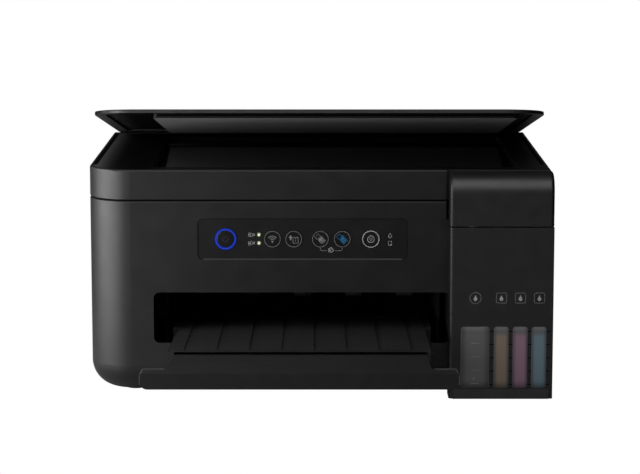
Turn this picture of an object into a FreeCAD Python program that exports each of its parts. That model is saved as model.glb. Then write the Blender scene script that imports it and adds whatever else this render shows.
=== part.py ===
"""Inkjet printer with ink tanks at the front right and a flatbed scanner on top.

Sizes are in millimetres. Everything is built in a bench frame: X to the right, Y from the
body's front face to the back, Z up from the table. At the end every piece is moved along Y
so that the origin lies under the middle of the whole outline.
"""
import FreeCAD
import Part
import math
import os

V = FreeCAD.Vector
AXIS_X = V(1, 0, 0)
AXIS_Y = V(0, 1, 0)
AXIS_Z = V(0, 0, 1)

# Overall sizes
OVERALL_WIDTH = 375.0
BODY_DEPTH = 325.0
BED_TOP = 185.5
FOOT_HEIGHT = 2.5
WALL = 2.5
LEFT = -OVERALL_WIDTH / 2
RIGHT = OVERALL_WIDTH / 2

# Clearances
SEAT = 0.25
RUN = 0.3
SHAFT_FIT = 0.05
BIG = 1000.0

# Main housing
FRONT_CORNER_R = 35.0
BOTTOM_R = 22.0
REAR_EDGE_R = 6.0
RIM_R = 1.0
HOUSING_TOP = 159.9
SCANNER_SEAM = 1.5
DECK_START = BODY_DEPTH - 35.0
DECK_THICK = 4.0
BOTTOM_HOLE_INSET = 52.0
BASE_THICK = 3.0
BASE_INSET = 25.0
BASE_REAR_INSET = 9.0
BASE_GAP = 1.0
FLOOR_Z = FOOT_HEIGHT + WALL
BASE_TOP = FLOOR_Z + BASE_THICK
FOOT_R = 9.0
FOOT_EDGE_R = 0.8
FOOT_INSET = 36.0
TANK_FOOT_Y = 5.0

# Control panel on the front face
PANEL_LEFT = -98.4
PANEL_RIGHT = 71.3
PANEL_BOTTOM = 112.2
PANEL_TOP = 145.9
PANEL_CORNER_R = 4.5
PANEL_SINK = 0.7
PANEL_LIP = 4.0
PANEL_LIP_THICK = 2.0
PANEL_BACK = WALL + PANEL_LIP_THICK
BUTTON_Z = 129.1
BUTTON_PROUD = 0.5
BUTTON_TRAVEL = 0.8
BUTTON_EDGE_R = 0.4
BUTTON_LIP = 1.2
BUTTON_LIP_THICK = 1.5
BUTTON_R = 6.6
STOP_BUTTON_R = 7.0
POWER_BUTTON_R = 6.8
POWER_X = -75.8
POWER_RING_R = 8.7
POWER_RING_LIP = 1.5
BUTTONS = {
    "wireless_button": (-37.9, BUTTON_R),
    "document_button": (-20.8, BUTTON_R),
    "mono_copy_button": (0.8, BUTTON_R),
    "colour_copy_button": (18.4, BUTTON_R),
    "stop_button": (41.5, STOP_BUTTON_R),
}
LENS_X = -48.8
LENS_Z = (132.5, 125.7)
LENS_R = 1.4
LENS_PROUD = 0.2
BOARD_Y = 9.5
BOARD_THICK = 1.6
BOARD_MARGIN = 3.0
POST_R = 2.0
POST_INSET = 5.0
PLUNGER_R = 2.0
PLUNGER_GAP = 0.1

# Tank unit at the front right
TANK_WIDTH = 83.5
TANK_REACH = 22.0
TANK_LAP = 4.5
TANK_BAY_DEPTH = BODY_DEPTH - 228.0
TANK_WALL = 2.2
TANK_EDGE_R = 3.0
TANK_INNER_R = 0.5
COVER_SEAM = 142.3
SEAM_GAP = 0.5
TANK_DECK_TOP = 138.0
TANK_DECK_THICK = 2.0
TANK_LEFT = RIGHT - TANK_WIDTH
BAY_X = TANK_LEFT + TANK_LAP
WINDOW_BOTTOM = 11.3
WINDOW_TOP = 61.5
WINDOW_R = 2.2
WINDOWS = {
    "black": (RIGHT - 73.8, RIGHT - 51.1),
    "yellow": (RIGHT - 47.3, RIGHT - 35.6),
    "magenta": (RIGHT - 32.2, RIGHT - 20.5),
    "cyan": (RIGHT - 17.1, RIGHT - 5.4),
}
PLINTH_TOP = 8.4
PLINTH_PROUD = 0.5
LEVEL_MARKS = (25.1, 36.0, 46.9, 57.7)
LEVEL_MARK_HEIGHT = 0.8
LEVEL_MARK_DEPTH = 0.5
LEVEL_MARK_END = 2.5
FINGER_GAP_X = TANK_LEFT - 1.8
FINGER_GAP_BOTTOM = 145.0
FINGER_GAP_DEPTH = 9.0
INK_TANK_LAP = 1.2
INK_TANK_REAR = TANK_BAY_DEPTH - 9.0
INK_TANK_TOP = 134.0
INK_TANK_WALL = 1.4
INK_TANK_PROUD = 0.3
PORT_Y = -9.0
PORT_R = 5.6
PORT_BORE_R = 4.6
PORT_TOP = 143.0

# Ink caps, hinged behind the filling ports
CAP_R = 6.4
CAP_THICK = 3.4
CAP_EDGE_R = 0.8
CAP_STEP = 0.4
CAP_GAP = 0.1
CAP_PLUG_R = 4.1
CAP_PLUG_DEPTH = 0.9
CAP_TAB = 2.0
CAP_TAB_HALF = 2.6
CAP_TAB_THICK = 1.2
CAP_AXIS_Y = 0.0
CAP_AXIS_Z = 142.5
CAP_BARREL_R = 2.0
CAP_LUG_HALF = 2.7
CAP_PIN_R = 1.2
EAR_THICK = 1.6
CAP_EAR_R = 2.0

# Tank cover, a hood hinged at its upper rear edge
COVER_FRONT_R = 16.5
COVER_REAR = -2.5
COVER_SIDE_REAR = -3.5
COVER_REAR_R = 2.5
COVER_TOP_STRIP = 8.0
COVER_AXIS_Y = -7.0
COVER_AXIS_Z = 179.5
COVER_PIN_R = 1.5
COVER_PIN_LENGTH = 2.5
COVER_EAR_R = 3.2
COVER_EAR_THICK = 2.0

# Scanner unit
SCANNER_BOTTOM = HOUSING_TOP + SCANNER_SEAM
SCANNER_REAR = BODY_DEPTH - 40.0
SCANNER_NOTCH = 2.0
SCANNER_SIDE_INSET = 1.0
SCANNER_RIM = 2.8
SCANNER_LEDGE = 2.4
SCANNER_EDGE_R = 1.6
FRAME_THICK = 3.0
FRAME_SINK = 0.3
FRAME_GAP = 0.2
REAR_STEP_START = SCANNER_REAR - 17.0
LUG_POCKET_START = SCANNER_REAR - 22.5
REAR_STEP_TOP = 178.0
REAR_WALL = 3.0
GLASS_LEFT = LEFT + 52.5
GLASS_RIGHT = RIGHT - 26.5
GLASS_FRONT = 18.0
GLASS_BACK = REAR_STEP_START - 34.0
GLASS_LAP = 6.0
GLASS_THICK = 3.0
GLASS_CORNER_R = 2.0
SCAN_RAIL_Y = (GLASS_FRONT + GLASS_BACK) / 2
SCAN_RAIL_WIDTH = 8.0
SCAN_RAIL_HEIGHT = 5.0
SCAN_BAR_HOME = GLASS_LEFT + 13.0
SCAN_BAR_WIDTH = 18.0
SCAN_BAR_HEIGHT = 12.1
SCAN_BAR_MARGIN = 2.0
SCAN_LENS_HALF = 2.0
SCAN_LENS_END = 3.0
SCAN_LENS_DEPTH = 0.8
SCAN_HINGE_Y = SCANNER_REAR - 1.0
SCAN_HINGE_Z = SCANNER_BOTTOM - 6.0
SCAN_HINGE_X = RIGHT - 27.5
SCAN_LUG_HALF = 6.0
SCAN_LUG_R = 5.0
SCAN_PIN_R = 2.5
SCAN_EAR_THICK = 5.0
SCAN_EAR_GAP = 0.5
SCAN_EAR_DROP = 5.0
SCAN_EAR_RISE = 2.5

# Document cover
LID_SIDE_INSET = 4.4
LID_FRONT = 3.5
LID_REAR = SCANNER_REAR - 9.0
LID_BOTTOM = 185.8
LID_EDGE = 2.8
LID_CROWN = 1.4
LID_CROWN_RUN = 20.0
LID_FRONT_R = 31.0
LID_REAR_R = 5.0
LID_EDGE_R = 0.8
LID_RIM = 9.0
LID_RECESS = 1.5
LID_SPINE = 14.0
LID_AXIS_Y = SCANNER_REAR - 15.5
LID_AXIS_Z = 184.5
LID_OPEN = 9.7
LID_LUG_X = 120.0
LID_LUG_HALF = 5.0
LID_LUG_R = 3.2
LID_PIN_R = 1.6
LID_EAR_THICK = 3.0
LID_EAR_R = 3.4
LID_NOTCH_LEFT = -66.0
LID_NOTCH_RIGHT = 36.0
LID_NOTCH_DEPTH = 0.8
LID_NOTCH_LENGTH = 8.0
MAT_GAP = 0.7
MAT_PROUD = 3.3
MAT_GLUE = 0.05
MAT_CORNER_R = 3.0

# Paper output: opening, tray and tray extension
OUTLET_RIGHT = TANK_LEFT + 1.7
OUTLET_HALF = (OVERALL_WIDTH - 135.0) / 2
OUTLET_LEFT = OUTLET_RIGHT - 2 * OUTLET_HALF
PAPER_X = (OUTLET_LEFT + OUTLET_RIGHT) / 2
OUTLET_BOTTOM = 43.7
OUTLET_TOP = 85.5
OUTLET_R = 5.0
TRAY_SLOPE = 3.2
TRAY_REACH = 235.0
TRAY_DROP_GAP = 0.7
BAR_HALF = OUTLET_HALF - 5.4
BAR_HEIGHT = 11.5
BAR_DEPTH = 21.0
BAR_CORNER_R = 6.0
BAR_EDGE_R = 1.2
TRAY_HALF = OUTLET_HALF - 20.0
TRAY_FRONT = -105.0
TRAY_LENGTH = 200.0
TRAY_PLATE = 2.0
TRAY_TOP = 9.5
TRAY_SIDE = 2.5
TRAY_LIP = 8.0
TRAY_LIP_BASE = 0.5
TRAY_TONGUE = 3.0
TRAY_GROOVES = 8
TRAY_GROOVE_WIDTH = 5.0
TRAY_GROOVE_DEPTH = 0.6
TRAY_GROOVE_END = 12.0
TONGUE_START = 10.0
TONGUE_BASE = 4.0
TONGUE_TOP = 6.0
EXTENSION_BASE = 3.0
EXTENSION_THICK = 2.5
EXTENSION_BACK = -70.0
GUIDE_WALL = 5.5
GUIDE_TOP = 9.0
GUIDE_START = BAR_DEPTH + 2.0
GUIDE_END = BODY_DEPTH - 97.0
BULKHEAD_GAP = 3.0
BULKHEAD_HALF = OUTLET_HALF - 2.0
BULKHEAD_TOP = 70.0

# Print engine
ROLLER_Z = 72.0
FEED_Y = BODY_DEPTH - 140.0
EXIT_Y = FEED_Y - 93.0
FEED_R = 9.0
FEED_JOURNAL_R = 4.0
EXIT_R = 6.0
EXIT_SHAFT_R = 3.0
EXIT_RINGS = 5
EXIT_RING_WIDTH = 14.0
STAR_R = 4.2
STAR_WIDTH = 1.0
STAR_POINTS = 12
STAR_ROOT_R = 3.1
STAR_AXLE_R = 1.0
STAR_GAP = 0.3
PINCH_R = 4.0
PINCH_AXLE_R = 1.5
PINCH_WIDTH = 22.0
ROLLER_HALF = OUTLET_HALF - 12.5
END_PLATE = 3.0
END_PLATE_X = OUTLET_HALF - 7.3
END_FRONT = EXIT_Y - 14.0
END_BACK = FEED_Y + 20.0
END_HIGH = 90.0
END_LOW = 80.0
END_STEP_Y = EXIT_Y + 12.0
TOWER_FRONT = FEED_Y - 8.0
TOWER_BACK = FEED_Y + 8.0
TABLE_FRONT = EXIT_Y + 16.0
TABLE_BACK = FEED_Y - 13.0
TABLE_BOTTOM = 70.0
TABLE_TOP = 76.0
RIB_HEIGHT = 3.0
RIB_WIDTH = 1.5
RIB_COUNT = 14
MODULE = 1.5
ADDENDUM = 0.9
DEDENDUM = 1.2
PRESSURE = 20.0
BACKLASH = 0.25
FEED_TEETH = 24
IDLER_TEETH = 42
EXIT_TEETH = 16
PINION_TEETH = 14
PINION_ANGLE = 60.0
GEAR_WIDTH = 7.0
GEAR_GAP = 2.0
IDLER_RIM = 3.0
IDLER_HUB_R = 8.0
IDLER_WEB = 2.5
STUB_R = 4.0
MOTOR_R = 14.0
CARRIAGE_MOTOR_R = 13.0
MOTOR_LENGTH = 29.0
MOTOR_SHAFT_R = 1.5

# Chassis of folded sheet metal with the carriage rail
SHEET = 1.5
CHASSIS_LEFT = PAPER_X - OUTLET_HALF - 12.2
CHASSIS_RIGHT = RIGHT - 8.0
CHASSIS_FRONT = FEED_Y - 85.0
CHASSIS_BACK = FEED_Y + 45.0
CHASSIS_TOP = 150.0
BACK_PLATE_BOTTOM = 95.0
RAIL_Y = FEED_Y + 21.5
RAIL_BOTTOM = 110.0
RAIL_TOP = 140.0
FLANGE = 9.0
CHASSIS_BAY_GAP = 8.0
MOTOR_BOSS_R = 4.0
BELT_Y = FEED_Y + 30.0
BELT_WIDTH = 5.0
BELT_THICK = 1.0
PULLEY_Z = 123.0
PULLEY_R = 6.0
PULLEY_FLANGE_R = 8.0
PULLEY_FLANGE = 1.0
DRIVE_X = RIGHT - 22.5
IDLER_X = CHASSIS_LEFT + 16.5
STRIP_Y = FEED_Y + 14.0
STRIP_BOTTOM = 134.0
STRIP_TOP = 142.0
STRIP_THICK = 0.3

# Carriage, parked at the right over the maintenance station
CARRIAGE_HOME = RIGHT - 52.5
CARRIAGE_HALF = 28.0
CARRIAGE_FRONT = FEED_Y - 67.0
CARRIAGE_BACK = FEED_Y + 12.0
CARRIAGE_BOTTOM = 84.0
CARRIAGE_STEP_Y = FEED_Y - 13.0
CARRIAGE_STEP_Z = 100.0
CARRIAGE_TOP = 130.0
CARRIAGE_EDGE_R = 3.0
CARRIAGE_HOOK_HALF = 15.0
CARRIAGE_HOOK_BACK = FEED_Y + 27.0
HOOK_BOTTOM = 122.0
HOOK_TOP = 146.0
CLAMP_HALF = 8.0
CLAMP_BACK = FEED_Y + 37.0
CLAMP_BOTTOM = 125.0
CLAMP_TOP = 134.0
HEAD_HALF = 12.0
HEAD_OFFSET = -10.0
HEAD_FRONT = FEED_Y - 55.0
HEAD_BACK = FEED_Y - 25.0
HEAD_BOTTOM = 80.6
STATION_LEFT = RIGHT - 75.5
STATION_RIGHT = RIGHT - 27.5
STATION_FRONT = FEED_Y - 65.0
STATION_BACK = FEED_Y - 10.0
STATION_TOP = 78.0
CAP_LIP = 2.0
WELL_INSET = 1.0
WELL_DEPTH = 2.0
RIDGE_HALF = 4.5
RIDGE_HEIGHT = 4.0
RIDGE_INSET = 6.0

# Ink tubes from the tanks to the carriage
TUBE_R = 1.5
TUBE_BEND_R = 7.0
TUBE_TANK_Y = INK_TANK_REAR - 16.0
TUBE_CARRIAGE_Y = FEED_Y - 35.0
TUBE_TOP = 151.0
TUBE_PITCH = 11.0
TUBE_SHIFT = {"black": 5.0, "yellow": 0.0, "magenta": 0.0, "cyan": -4.0}
TUBE_NOTCH_BOTTOM = 147.0

# Rear paper feed
CHUTE_HALF = OUTLET_HALF - 7.0
CHUTE_SIDE = 2.2
CHUTE_TOP_Y = BODY_DEPTH - 17.0
CHUTE_TOP_Z = HOUSING_TOP - 4.5
CHUTE_LOW_Y = CHUTE_TOP_Y - 68.0
CHUTE_LOW_Z = CHUTE_TOP_Z - 79.0
CHUTE_CHEEK = 37.0
CHUTE_THICK = 2.5
CHUTE_FRONT = CHUTE_LOW_Y - 4.0
CHUTE_BACK = BODY_DEPTH - 6.0
SLOT_FRONT = DECK_START + 1.0
SLOT_BACK = BODY_DEPTH - 4.0
SLOT_DEPTH = 9.0
PICKUP_AT = 25.0
PICKUP_R = 11.0
PICKUP_LIFT = 11.5
PICKUP_HALF = 20.0
PICKUP_SHAFT_R = 3.0
SUPPORT_HALF = CHUTE_HALF - 33.0
SUPPORT_LENGTH = 88.0
SUPPORT_THICK = 2.2
SUPPORT_TAB = 4.5
SUPPORT_TAB_HALF = 30.0
PAPER_HALF = CHUTE_HALF - 7.5
GUIDE_FIN = 2.0
GUIDE_FIN_HEIGHT = 12.0
GUIDE_FOOT = 10.0
GUIDE_BASE = 1.2
GUIDE_FROM = 40.0
GUIDE_TO = 80.0
GUARD_THICK = 2.4
GUARD_AXIS_Y = BODY_DEPTH - 17.5
GUARD_BARREL_R = 2.0
GUARD_PIN_R = 1.0
GUARD_PIN = 2.0

# Electrics
PSU_LEFT = RIGHT - 72.5
PSU_RIGHT = RIGHT - 5.5
PSU_FRONT = BODY_DEPTH - 87.0
PSU_BACK = BODY_DEPTH - 9.0
PSU_HEIGHT = 42.0
INLET_X = RIGHT - 37.5
INLET_Z = 30.0
INLET_WIDTH = 22.0
INLET_HEIGHT = 13.0
INLET_R = 6.0
INLET_WALL = 1.5
INLET_DEPTH = 6.0
INLET_PIN_X = 4.3
INLET_PIN_R = 1.2
INLET_PIN_SHY = 1.0
BOARD_RIGHT = PAPER_X + CHUTE_HALF - 3.7
BOARD_LEFT = BOARD_RIGHT - 85.0
BOARD_FRONT = BODY_DEPTH - 85.0
BOARD_BACK = BODY_DEPTH - 9.0
STANDOFF = 5.0
STANDOFF_R = 3.0
USB_X = BOARD_RIGHT - 35.0
USB_WIDTH = 12.0
USB_HEIGHT = 11.0
USB_DEPTH = 18.0
USB_SKIN = 0.8
USB_FLOOR = 3.0
USB_TONGUE = 3.0
USB_TONGUE_SHY = 2.0


def box(x0, x1, y0, y1, z0, z1):
    return Part.makeBox(x1 - x0, y1 - y0, z1 - z0, V(x0, y0, z0))


def rod_x(x0, x1, y, z, r):
    return Part.makeCylinder(r, x1 - x0, V(x0, y, z), AXIS_X)


def rod_y(y0, y1, x, z, r):
    return Part.makeCylinder(r, y1 - y0, V(x, y0, z), AXIS_Y)


def rod_z(z0, z1, x, y, r):
    return Part.makeCylinder(r, z1 - z0, V(x, y, z0), AXIS_Z)


def prism_x(points, x0, x1):
    """A polygon of (y, z) points drawn out along X."""
    loop = [V(x0, y, z) for y, z in points]
    face = Part.Face(Part.makePolygon(loop + [loop[0]]))
    return face.extrude(V(x1 - x0, 0, 0))


def fuse(first, *others):
    return first.multiFuse(list(others)).removeSplitter()


def cut(base, *tools):
    return base.cut(list(tools))


def slab_y(x0, x1, z0, z1, r, y0, y1):
    """A plate across Y whose four corners, seen from the front, are rounded."""
    plate = box(x0, x1, y0, y1, z0, z1)
    edges = [e for e in plate.Edges if abs(e.tangentAt(e.FirstParameter).y) > 0.9]
    return plate.makeFillet(r, edges)


def plan(points, corner_r, z0, z1):
    """An outline of (x, y) points drawn up along Z; the first corner is rounded."""
    (x, y) = points[0]
    (bx, by) = points[1]
    (ax, ay) = points[-1]
    to_next = V(bx - x, by - y, 0).normalize()
    to_last = V(ax - x, ay - y, 0).normalize()
    corner = V(x, y, z0)
    start = corner + to_next * corner_r
    end = corner + to_last * corner_r
    centre = start + to_last * corner_r
    middle = centre + (corner - centre).normalize() * corner_r
    loop = [start] + [V(px, py, z0) for px, py in points[1:]] + [end]
    edges = [Part.makeLine(a, b) for a, b in zip(loop, loop[1:])]
    edges.append(Part.Arc(end, middle, start).toShape())
    return Part.Face(Part.Wire(edges)).extrude(V(0, 0, z1 - z0))


def edges_where(shape, test):
    return [e for e in shape.Edges if test(e.BoundBox)]


def solids(*shapes):
    return Part.makeCompound(list(shapes))


def at_z(b, z):
    return abs(b.ZMin - z) < 0.01 and abs(b.ZMax - z) < 0.01


# Main housing


def body_plan(inset, z0, z1):
    points = [
        (LEFT + inset, inset),
        (BAY_X - inset, inset),
        (BAY_X - inset, TANK_BAY_DEPTH + inset),
        (RIGHT - inset, TANK_BAY_DEPTH + inset),
        (RIGHT - inset, BODY_DEPTH - inset),
        (LEFT + inset, BODY_DEPTH - inset),
    ]
    return plan(points, FRONT_CORNER_R - inset, z0, z1)


def front_and_left(b, z, inset):
    on_front = b.YMax < inset + FRONT_CORNER_R + 0.01 and b.XMax < BAY_X + 0.01
    on_left = b.XMax < LEFT + inset + 0.01
    return at_z(b, z) and (on_front or on_left)


def housing_outside():
    shape = body_plan(0.0, FOOT_HEIGHT, HOUSING_TOP)
    low = edges_where(shape, lambda b: front_and_left(b, FOOT_HEIGHT, 0.0))
    shape = shape.makeFillet(BOTTOM_R, low)
    rear = edges_where(shape, lambda b: b.YMin > BODY_DEPTH - 0.01 and b.ZMin < HOUSING_TOP - 1.0)
    shape = shape.makeFillet(REAR_EDGE_R, rear)
    rim = edges_where(shape, lambda b: front_and_left(b, HOUSING_TOP, 0.0))
    return shape.makeFillet(RIM_R, rim)


def housing_inside():
    shape = body_plan(WALL, FLOOR_Z, HOUSING_TOP + 1.0)
    low = edges_where(shape, lambda b: front_and_left(b, FLOOR_Z, WALL))
    return shape.makeFillet(BOTTOM_R - WALL, low)


def scan_ear(x0, x1):
    ring = rod_x(x0, x1, SCAN_HINGE_Y, SCAN_HINGE_Z, SCAN_LUG_R)
    low = SCAN_HINGE_Z - SCAN_EAR_DROP
    high = SCAN_HINGE_Z + SCAN_EAR_RISE
    arm = box(x0, x1, SCAN_HINGE_Y, BODY_DEPTH - WALL, low, high)
    hole = rod_x(x0 - 1, x1 + 1, SCAN_HINGE_Y, SCAN_HINGE_Z, SCAN_PIN_R + SHAFT_FIT)
    return cut(fuse(ring, arm), hole)


def scan_ears():
    ears = []
    for side in (-SCAN_HINGE_X, SCAN_HINGE_X):
        inner = SCAN_LUG_HALF + SCAN_EAR_GAP
        outer = inner + SCAN_EAR_THICK
        ears.append(scan_ear(side - outer, side - inner))
        ears.append(scan_ear(side + inner, side + outer))
    return ears


def main_housing():
    inside = housing_inside()
    shell = cut(housing_outside(), inside)
    deck = box(LEFT, RIGHT, DECK_START, BODY_DEPTH, HOUSING_TOP - DECK_THICK, HOUSING_TOP)
    shell = fuse(shell, deck.common(inside), *scan_ears())
    half = CHUTE_HALF + SEAT
    slot = box(PAPER_X - half, PAPER_X + half, SLOT_FRONT, SLOT_BACK, HOUSING_TOP - SLOT_DEPTH, BIG)
    outlet = slab_y(OUTLET_LEFT, OUTLET_RIGHT, OUTLET_BOTTOM, OUTLET_TOP, OUTLET_R, -1, WALL + 1)
    panel = slab_y(PANEL_LEFT, PANEL_RIGHT, PANEL_BOTTOM, PANEL_TOP, PANEL_CORNER_R, -1, WALL + 1)
    gap = box(FINGER_GAP_X, BAY_X + 1, -1, FINGER_GAP_DEPTH, FINGER_GAP_BOTTOM, BIG)
    hole = box(
        LEFT + BOTTOM_HOLE_INSET,
        BAY_X - BOTTOM_HOLE_INSET / 2,
        BOTTOM_HOLE_INSET,
        BODY_DEPTH - BOTTOM_HOLE_INSET,
        0,
        FLOOR_Z + 1,
    )
    pins = rod_x(
        PAPER_X - half - GUARD_PIN,
        PAPER_X + half + GUARD_PIN,
        GUARD_AXIS_Y,
        guard_axis_z(),
        GUARD_PIN_R + SHAFT_FIT,
    )
    tubes = box(
        min(tube_ends()) - TUBE_BEND_R,
        max(tube_starts()) + TUBE_BEND_R,
        TANK_BAY_DEPTH - 1,
        TANK_BAY_DEPTH + WALL + 1,
        TUBE_NOTCH_BOTTOM,
        BIG,
    )
    shell = cut(shell, slot, outlet, panel, gap, hole, pins, tubes)
    return cut(shell, inlet_shell(SEAT), usb_block(SEAT))


def tray_line(n, y):
    return TRAY_BASE + n - y * math.tan(math.radians(TRAY_SLOPE))


def tray_guide(side):
    inner = TRAY_HALF + RUN
    outer = inner + GUIDE_WALL
    x0, x1 = sorted((PAPER_X + side * inner, PAPER_X + side * outer))
    wall = prism_x(
        [
            (GUIDE_START, BASE_TOP),
            (GUIDE_END, BASE_TOP),
            (GUIDE_END, tray_line(GUIDE_TOP, GUIDE_END)),
            (GUIDE_START, tray_line(GUIDE_TOP, GUIDE_START)),
        ],
        x0,
        x1,
    )
    reach = TRAY_HALF + TRAY_TONGUE + RUN
    g0, g1 = sorted((PAPER_X + side * (inner - 1), PAPER_X + side * reach))
    groove = box(g0, g1, 0, BODY_DEPTH, TONGUE_BASE - RUN, TONGUE_TOP + RUN)
    return cut(wall, on_slope(groove))


def base_plate():
    right = BAY_X - WALL - BASE_GAP
    back = BODY_DEPTH - BASE_REAR_INSET
    front = box(LEFT + BASE_INSET, right, BASE_INSET, back, FLOOR_Z, BASE_TOP)
    bay = TANK_BAY_DEPTH + WALL + BASE_GAP
    side = box(right - 1, RIGHT - BASE_REAR_INSET, bay, back, FLOOR_Z, BASE_TOP)
    wall_y = GUIDE_END + BULKHEAD_GAP
    wall = box(
        PAPER_X - BULKHEAD_HALF,
        PAPER_X + BULKHEAD_HALF,
        wall_y,
        wall_y + WALL,
        BASE_TOP - 1,
        BULKHEAD_TOP,
    )
    posts = []
    for x in (BOARD_LEFT + STANDOFF, BOARD_RIGHT - STANDOFF):
        for y in (BOARD_FRONT + STANDOFF, BOARD_BACK - STANDOFF):
            posts.append(rod_z(BASE_TOP - 1, BASE_TOP + STANDOFF, x, y, STANDOFF_R))
    return fuse(front, side, wall, tray_guide(-1), tray_guide(1), *posts)


def rubber_feet():
    low = LEFT + FOOT_INSET
    back = BODY_DEPTH - FOOT_INSET
    high = RIGHT - FOOT_INSET
    places = [(low, FOOT_INSET), (low, back), (high, back), (high, TANK_FOOT_Y)]
    feet = []
    for x, y in places:
        foot = rod_z(0, FOOT_HEIGHT, x, y, FOOT_R)
        feet.append(foot.makeFillet(FOOT_EDGE_R, edges_where(foot, lambda b: at_z(b, 0))))
    return solids(*feet)


# Control panel


def button_bores():
    return [(x, r + SEAT) for x, r in BUTTONS.values()]


def control_panel():
    face = slab_y(
        PANEL_LEFT + SEAT,
        PANEL_RIGHT - SEAT,
        PANEL_BOTTOM + SEAT,
        PANEL_TOP - SEAT,
        PANEL_CORNER_R - SEAT,
        PANEL_SINK,
        PANEL_BACK,
    )
    lip = slab_y(
        PANEL_LEFT - PANEL_LIP,
        PANEL_RIGHT + PANEL_LIP,
        PANEL_BOTTOM - PANEL_LIP,
        PANEL_TOP + PANEL_LIP,
        PANEL_CORNER_R + PANEL_LIP,
        WALL,
        PANEL_BACK,
    )
    posts = []
    for x in (PANEL_LEFT + POST_INSET, PANEL_RIGHT - POST_INSET):
        for z in (PANEL_BOTTOM + POST_INSET, PANEL_TOP - POST_INSET):
            posts.append(rod_y(PANEL_BACK - 1, BOARD_Y, x, z, POST_R))
    bores = [rod_y(-1, PANEL_BACK + 1, x, BUTTON_Z, r) for x, r in button_bores()]
    bores.append(rod_y(-1, PANEL_BACK + 1, POWER_X, BUTTON_Z, POWER_RING_R + SEAT))
    for z in LENS_Z:
        bores.append(rod_y(-1, PANEL_BACK + 1, LENS_X, z, LENS_R + SEAT))
    return cut(fuse(face, lip, *posts), *bores)


def button(x, r, seat_y):
    front = PANEL_SINK - BUTTON_PROUD
    cap = rod_y(front, seat_y + BUTTON_LIP_THICK, x, BUTTON_Z, r)
    edge = [e for e in cap.Edges if abs(e.BoundBox.YMax - front) < 0.01]
    cap = cap.makeFillet(BUTTON_EDGE_R, edge)
    lip = rod_y(seat_y, seat_y + BUTTON_LIP_THICK, x, BUTTON_Z, r + BUTTON_LIP)
    return fuse(cap, lip)


def power_seat():
    return PANEL_BACK + POWER_RING_LIP


def power_light_ring():
    front = PANEL_SINK - BUTTON_PROUD / 2
    ring = rod_y(front, power_seat(), POWER_X, BUTTON_Z, POWER_RING_R)
    lip = rod_y(PANEL_BACK, power_seat(), POWER_X, BUTTON_Z, POWER_RING_R + POWER_RING_LIP)
    bore = rod_y(-1, power_seat() + 1, POWER_X, BUTTON_Z, POWER_BUTTON_R + SEAT)
    return cut(fuse(ring, lip), bore)


def indicator_lenses():
    return solids(*[rod_y(PANEL_SINK - LENS_PROUD, BOARD_Y, LENS_X, z, LENS_R) for z in LENS_Z])


def control_board():
    board = box(
        PANEL_LEFT + BOARD_MARGIN,
        PANEL_RIGHT - BOARD_MARGIN,
        BOARD_Y,
        BOARD_Y + BOARD_THICK,
        PANEL_BOTTOM + BOARD_MARGIN,
        PANEL_TOP - BOARD_MARGIN,
    )
    switches = []
    for x, seat_y in [(x, PANEL_BACK) for x, _ in BUTTONS.values()] + [(POWER_X, power_seat())]:
        tip = seat_y + BUTTON_LIP_THICK + BUTTON_TRAVEL + PLUNGER_GAP
        switches.append(rod_y(tip, BOARD_Y + BOARD_THICK / 2, x, BUTTON_Z, PLUNGER_R))
    return fuse(board, *switches)


# Tank unit


def tank_plan(inset, z0, z1):
    lap = BAY_X + SEAT + inset
    points = [
        (TANK_LEFT + inset, -TANK_REACH + inset),
        (RIGHT - inset, -TANK_REACH + inset),
        (RIGHT - inset, TANK_BAY_DEPTH - SEAT - inset),
        (lap, TANK_BAY_DEPTH - SEAT - inset),
        (lap, -SEAT - inset),
        (TANK_LEFT + inset, -SEAT - inset),
    ]
    return plan(points, max(TANK_EDGE_R - inset, TANK_INNER_R), z0, z1)


def ports():
    return [((x0 + x1) / 2, PORT_Y) for x0, x1 in WINDOWS.values()]


def ear(x0, x1, y, z, r, bottom, hole_r):
    """An upright ear with a round top around a pin that lies along X."""
    body = fuse(rod_x(x0, x1, y, z, r), box(x0, x1, y - r, y + r, bottom, z))
    return cut(body, rod_x(x0 - 1, x1 + 1, y, z, hole_r))


def cap_ears(x):
    inner = CAP_LUG_HALF + RUN
    outer = inner + EAR_THICK
    hole = CAP_PIN_R + SHAFT_FIT
    low = TANK_DECK_TOP - 0.5
    left = ear(x - outer, x - inner, CAP_AXIS_Y, CAP_AXIS_Z, CAP_EAR_R, low, hole)
    right = ear(x + inner, x + outer, CAP_AXIS_Y, CAP_AXIS_Z, CAP_EAR_R, low, hole)
    return [left, right]


def cover_ears():
    hole = COVER_PIN_R + SHAFT_FIT
    low = TANK_DECK_TOP - 0.5
    left = TANK_LEFT + TANK_WALL + RUN
    right = RIGHT - TANK_WALL - RUN
    span = COVER_EAR_THICK
    near = ear(left, left + span, COVER_AXIS_Y, COVER_AXIS_Z, COVER_EAR_R, low, hole)
    far = ear(right - span, right, COVER_AXIS_Y, COVER_AXIS_Z, COVER_EAR_R, low, hole)
    return [near, far]


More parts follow.
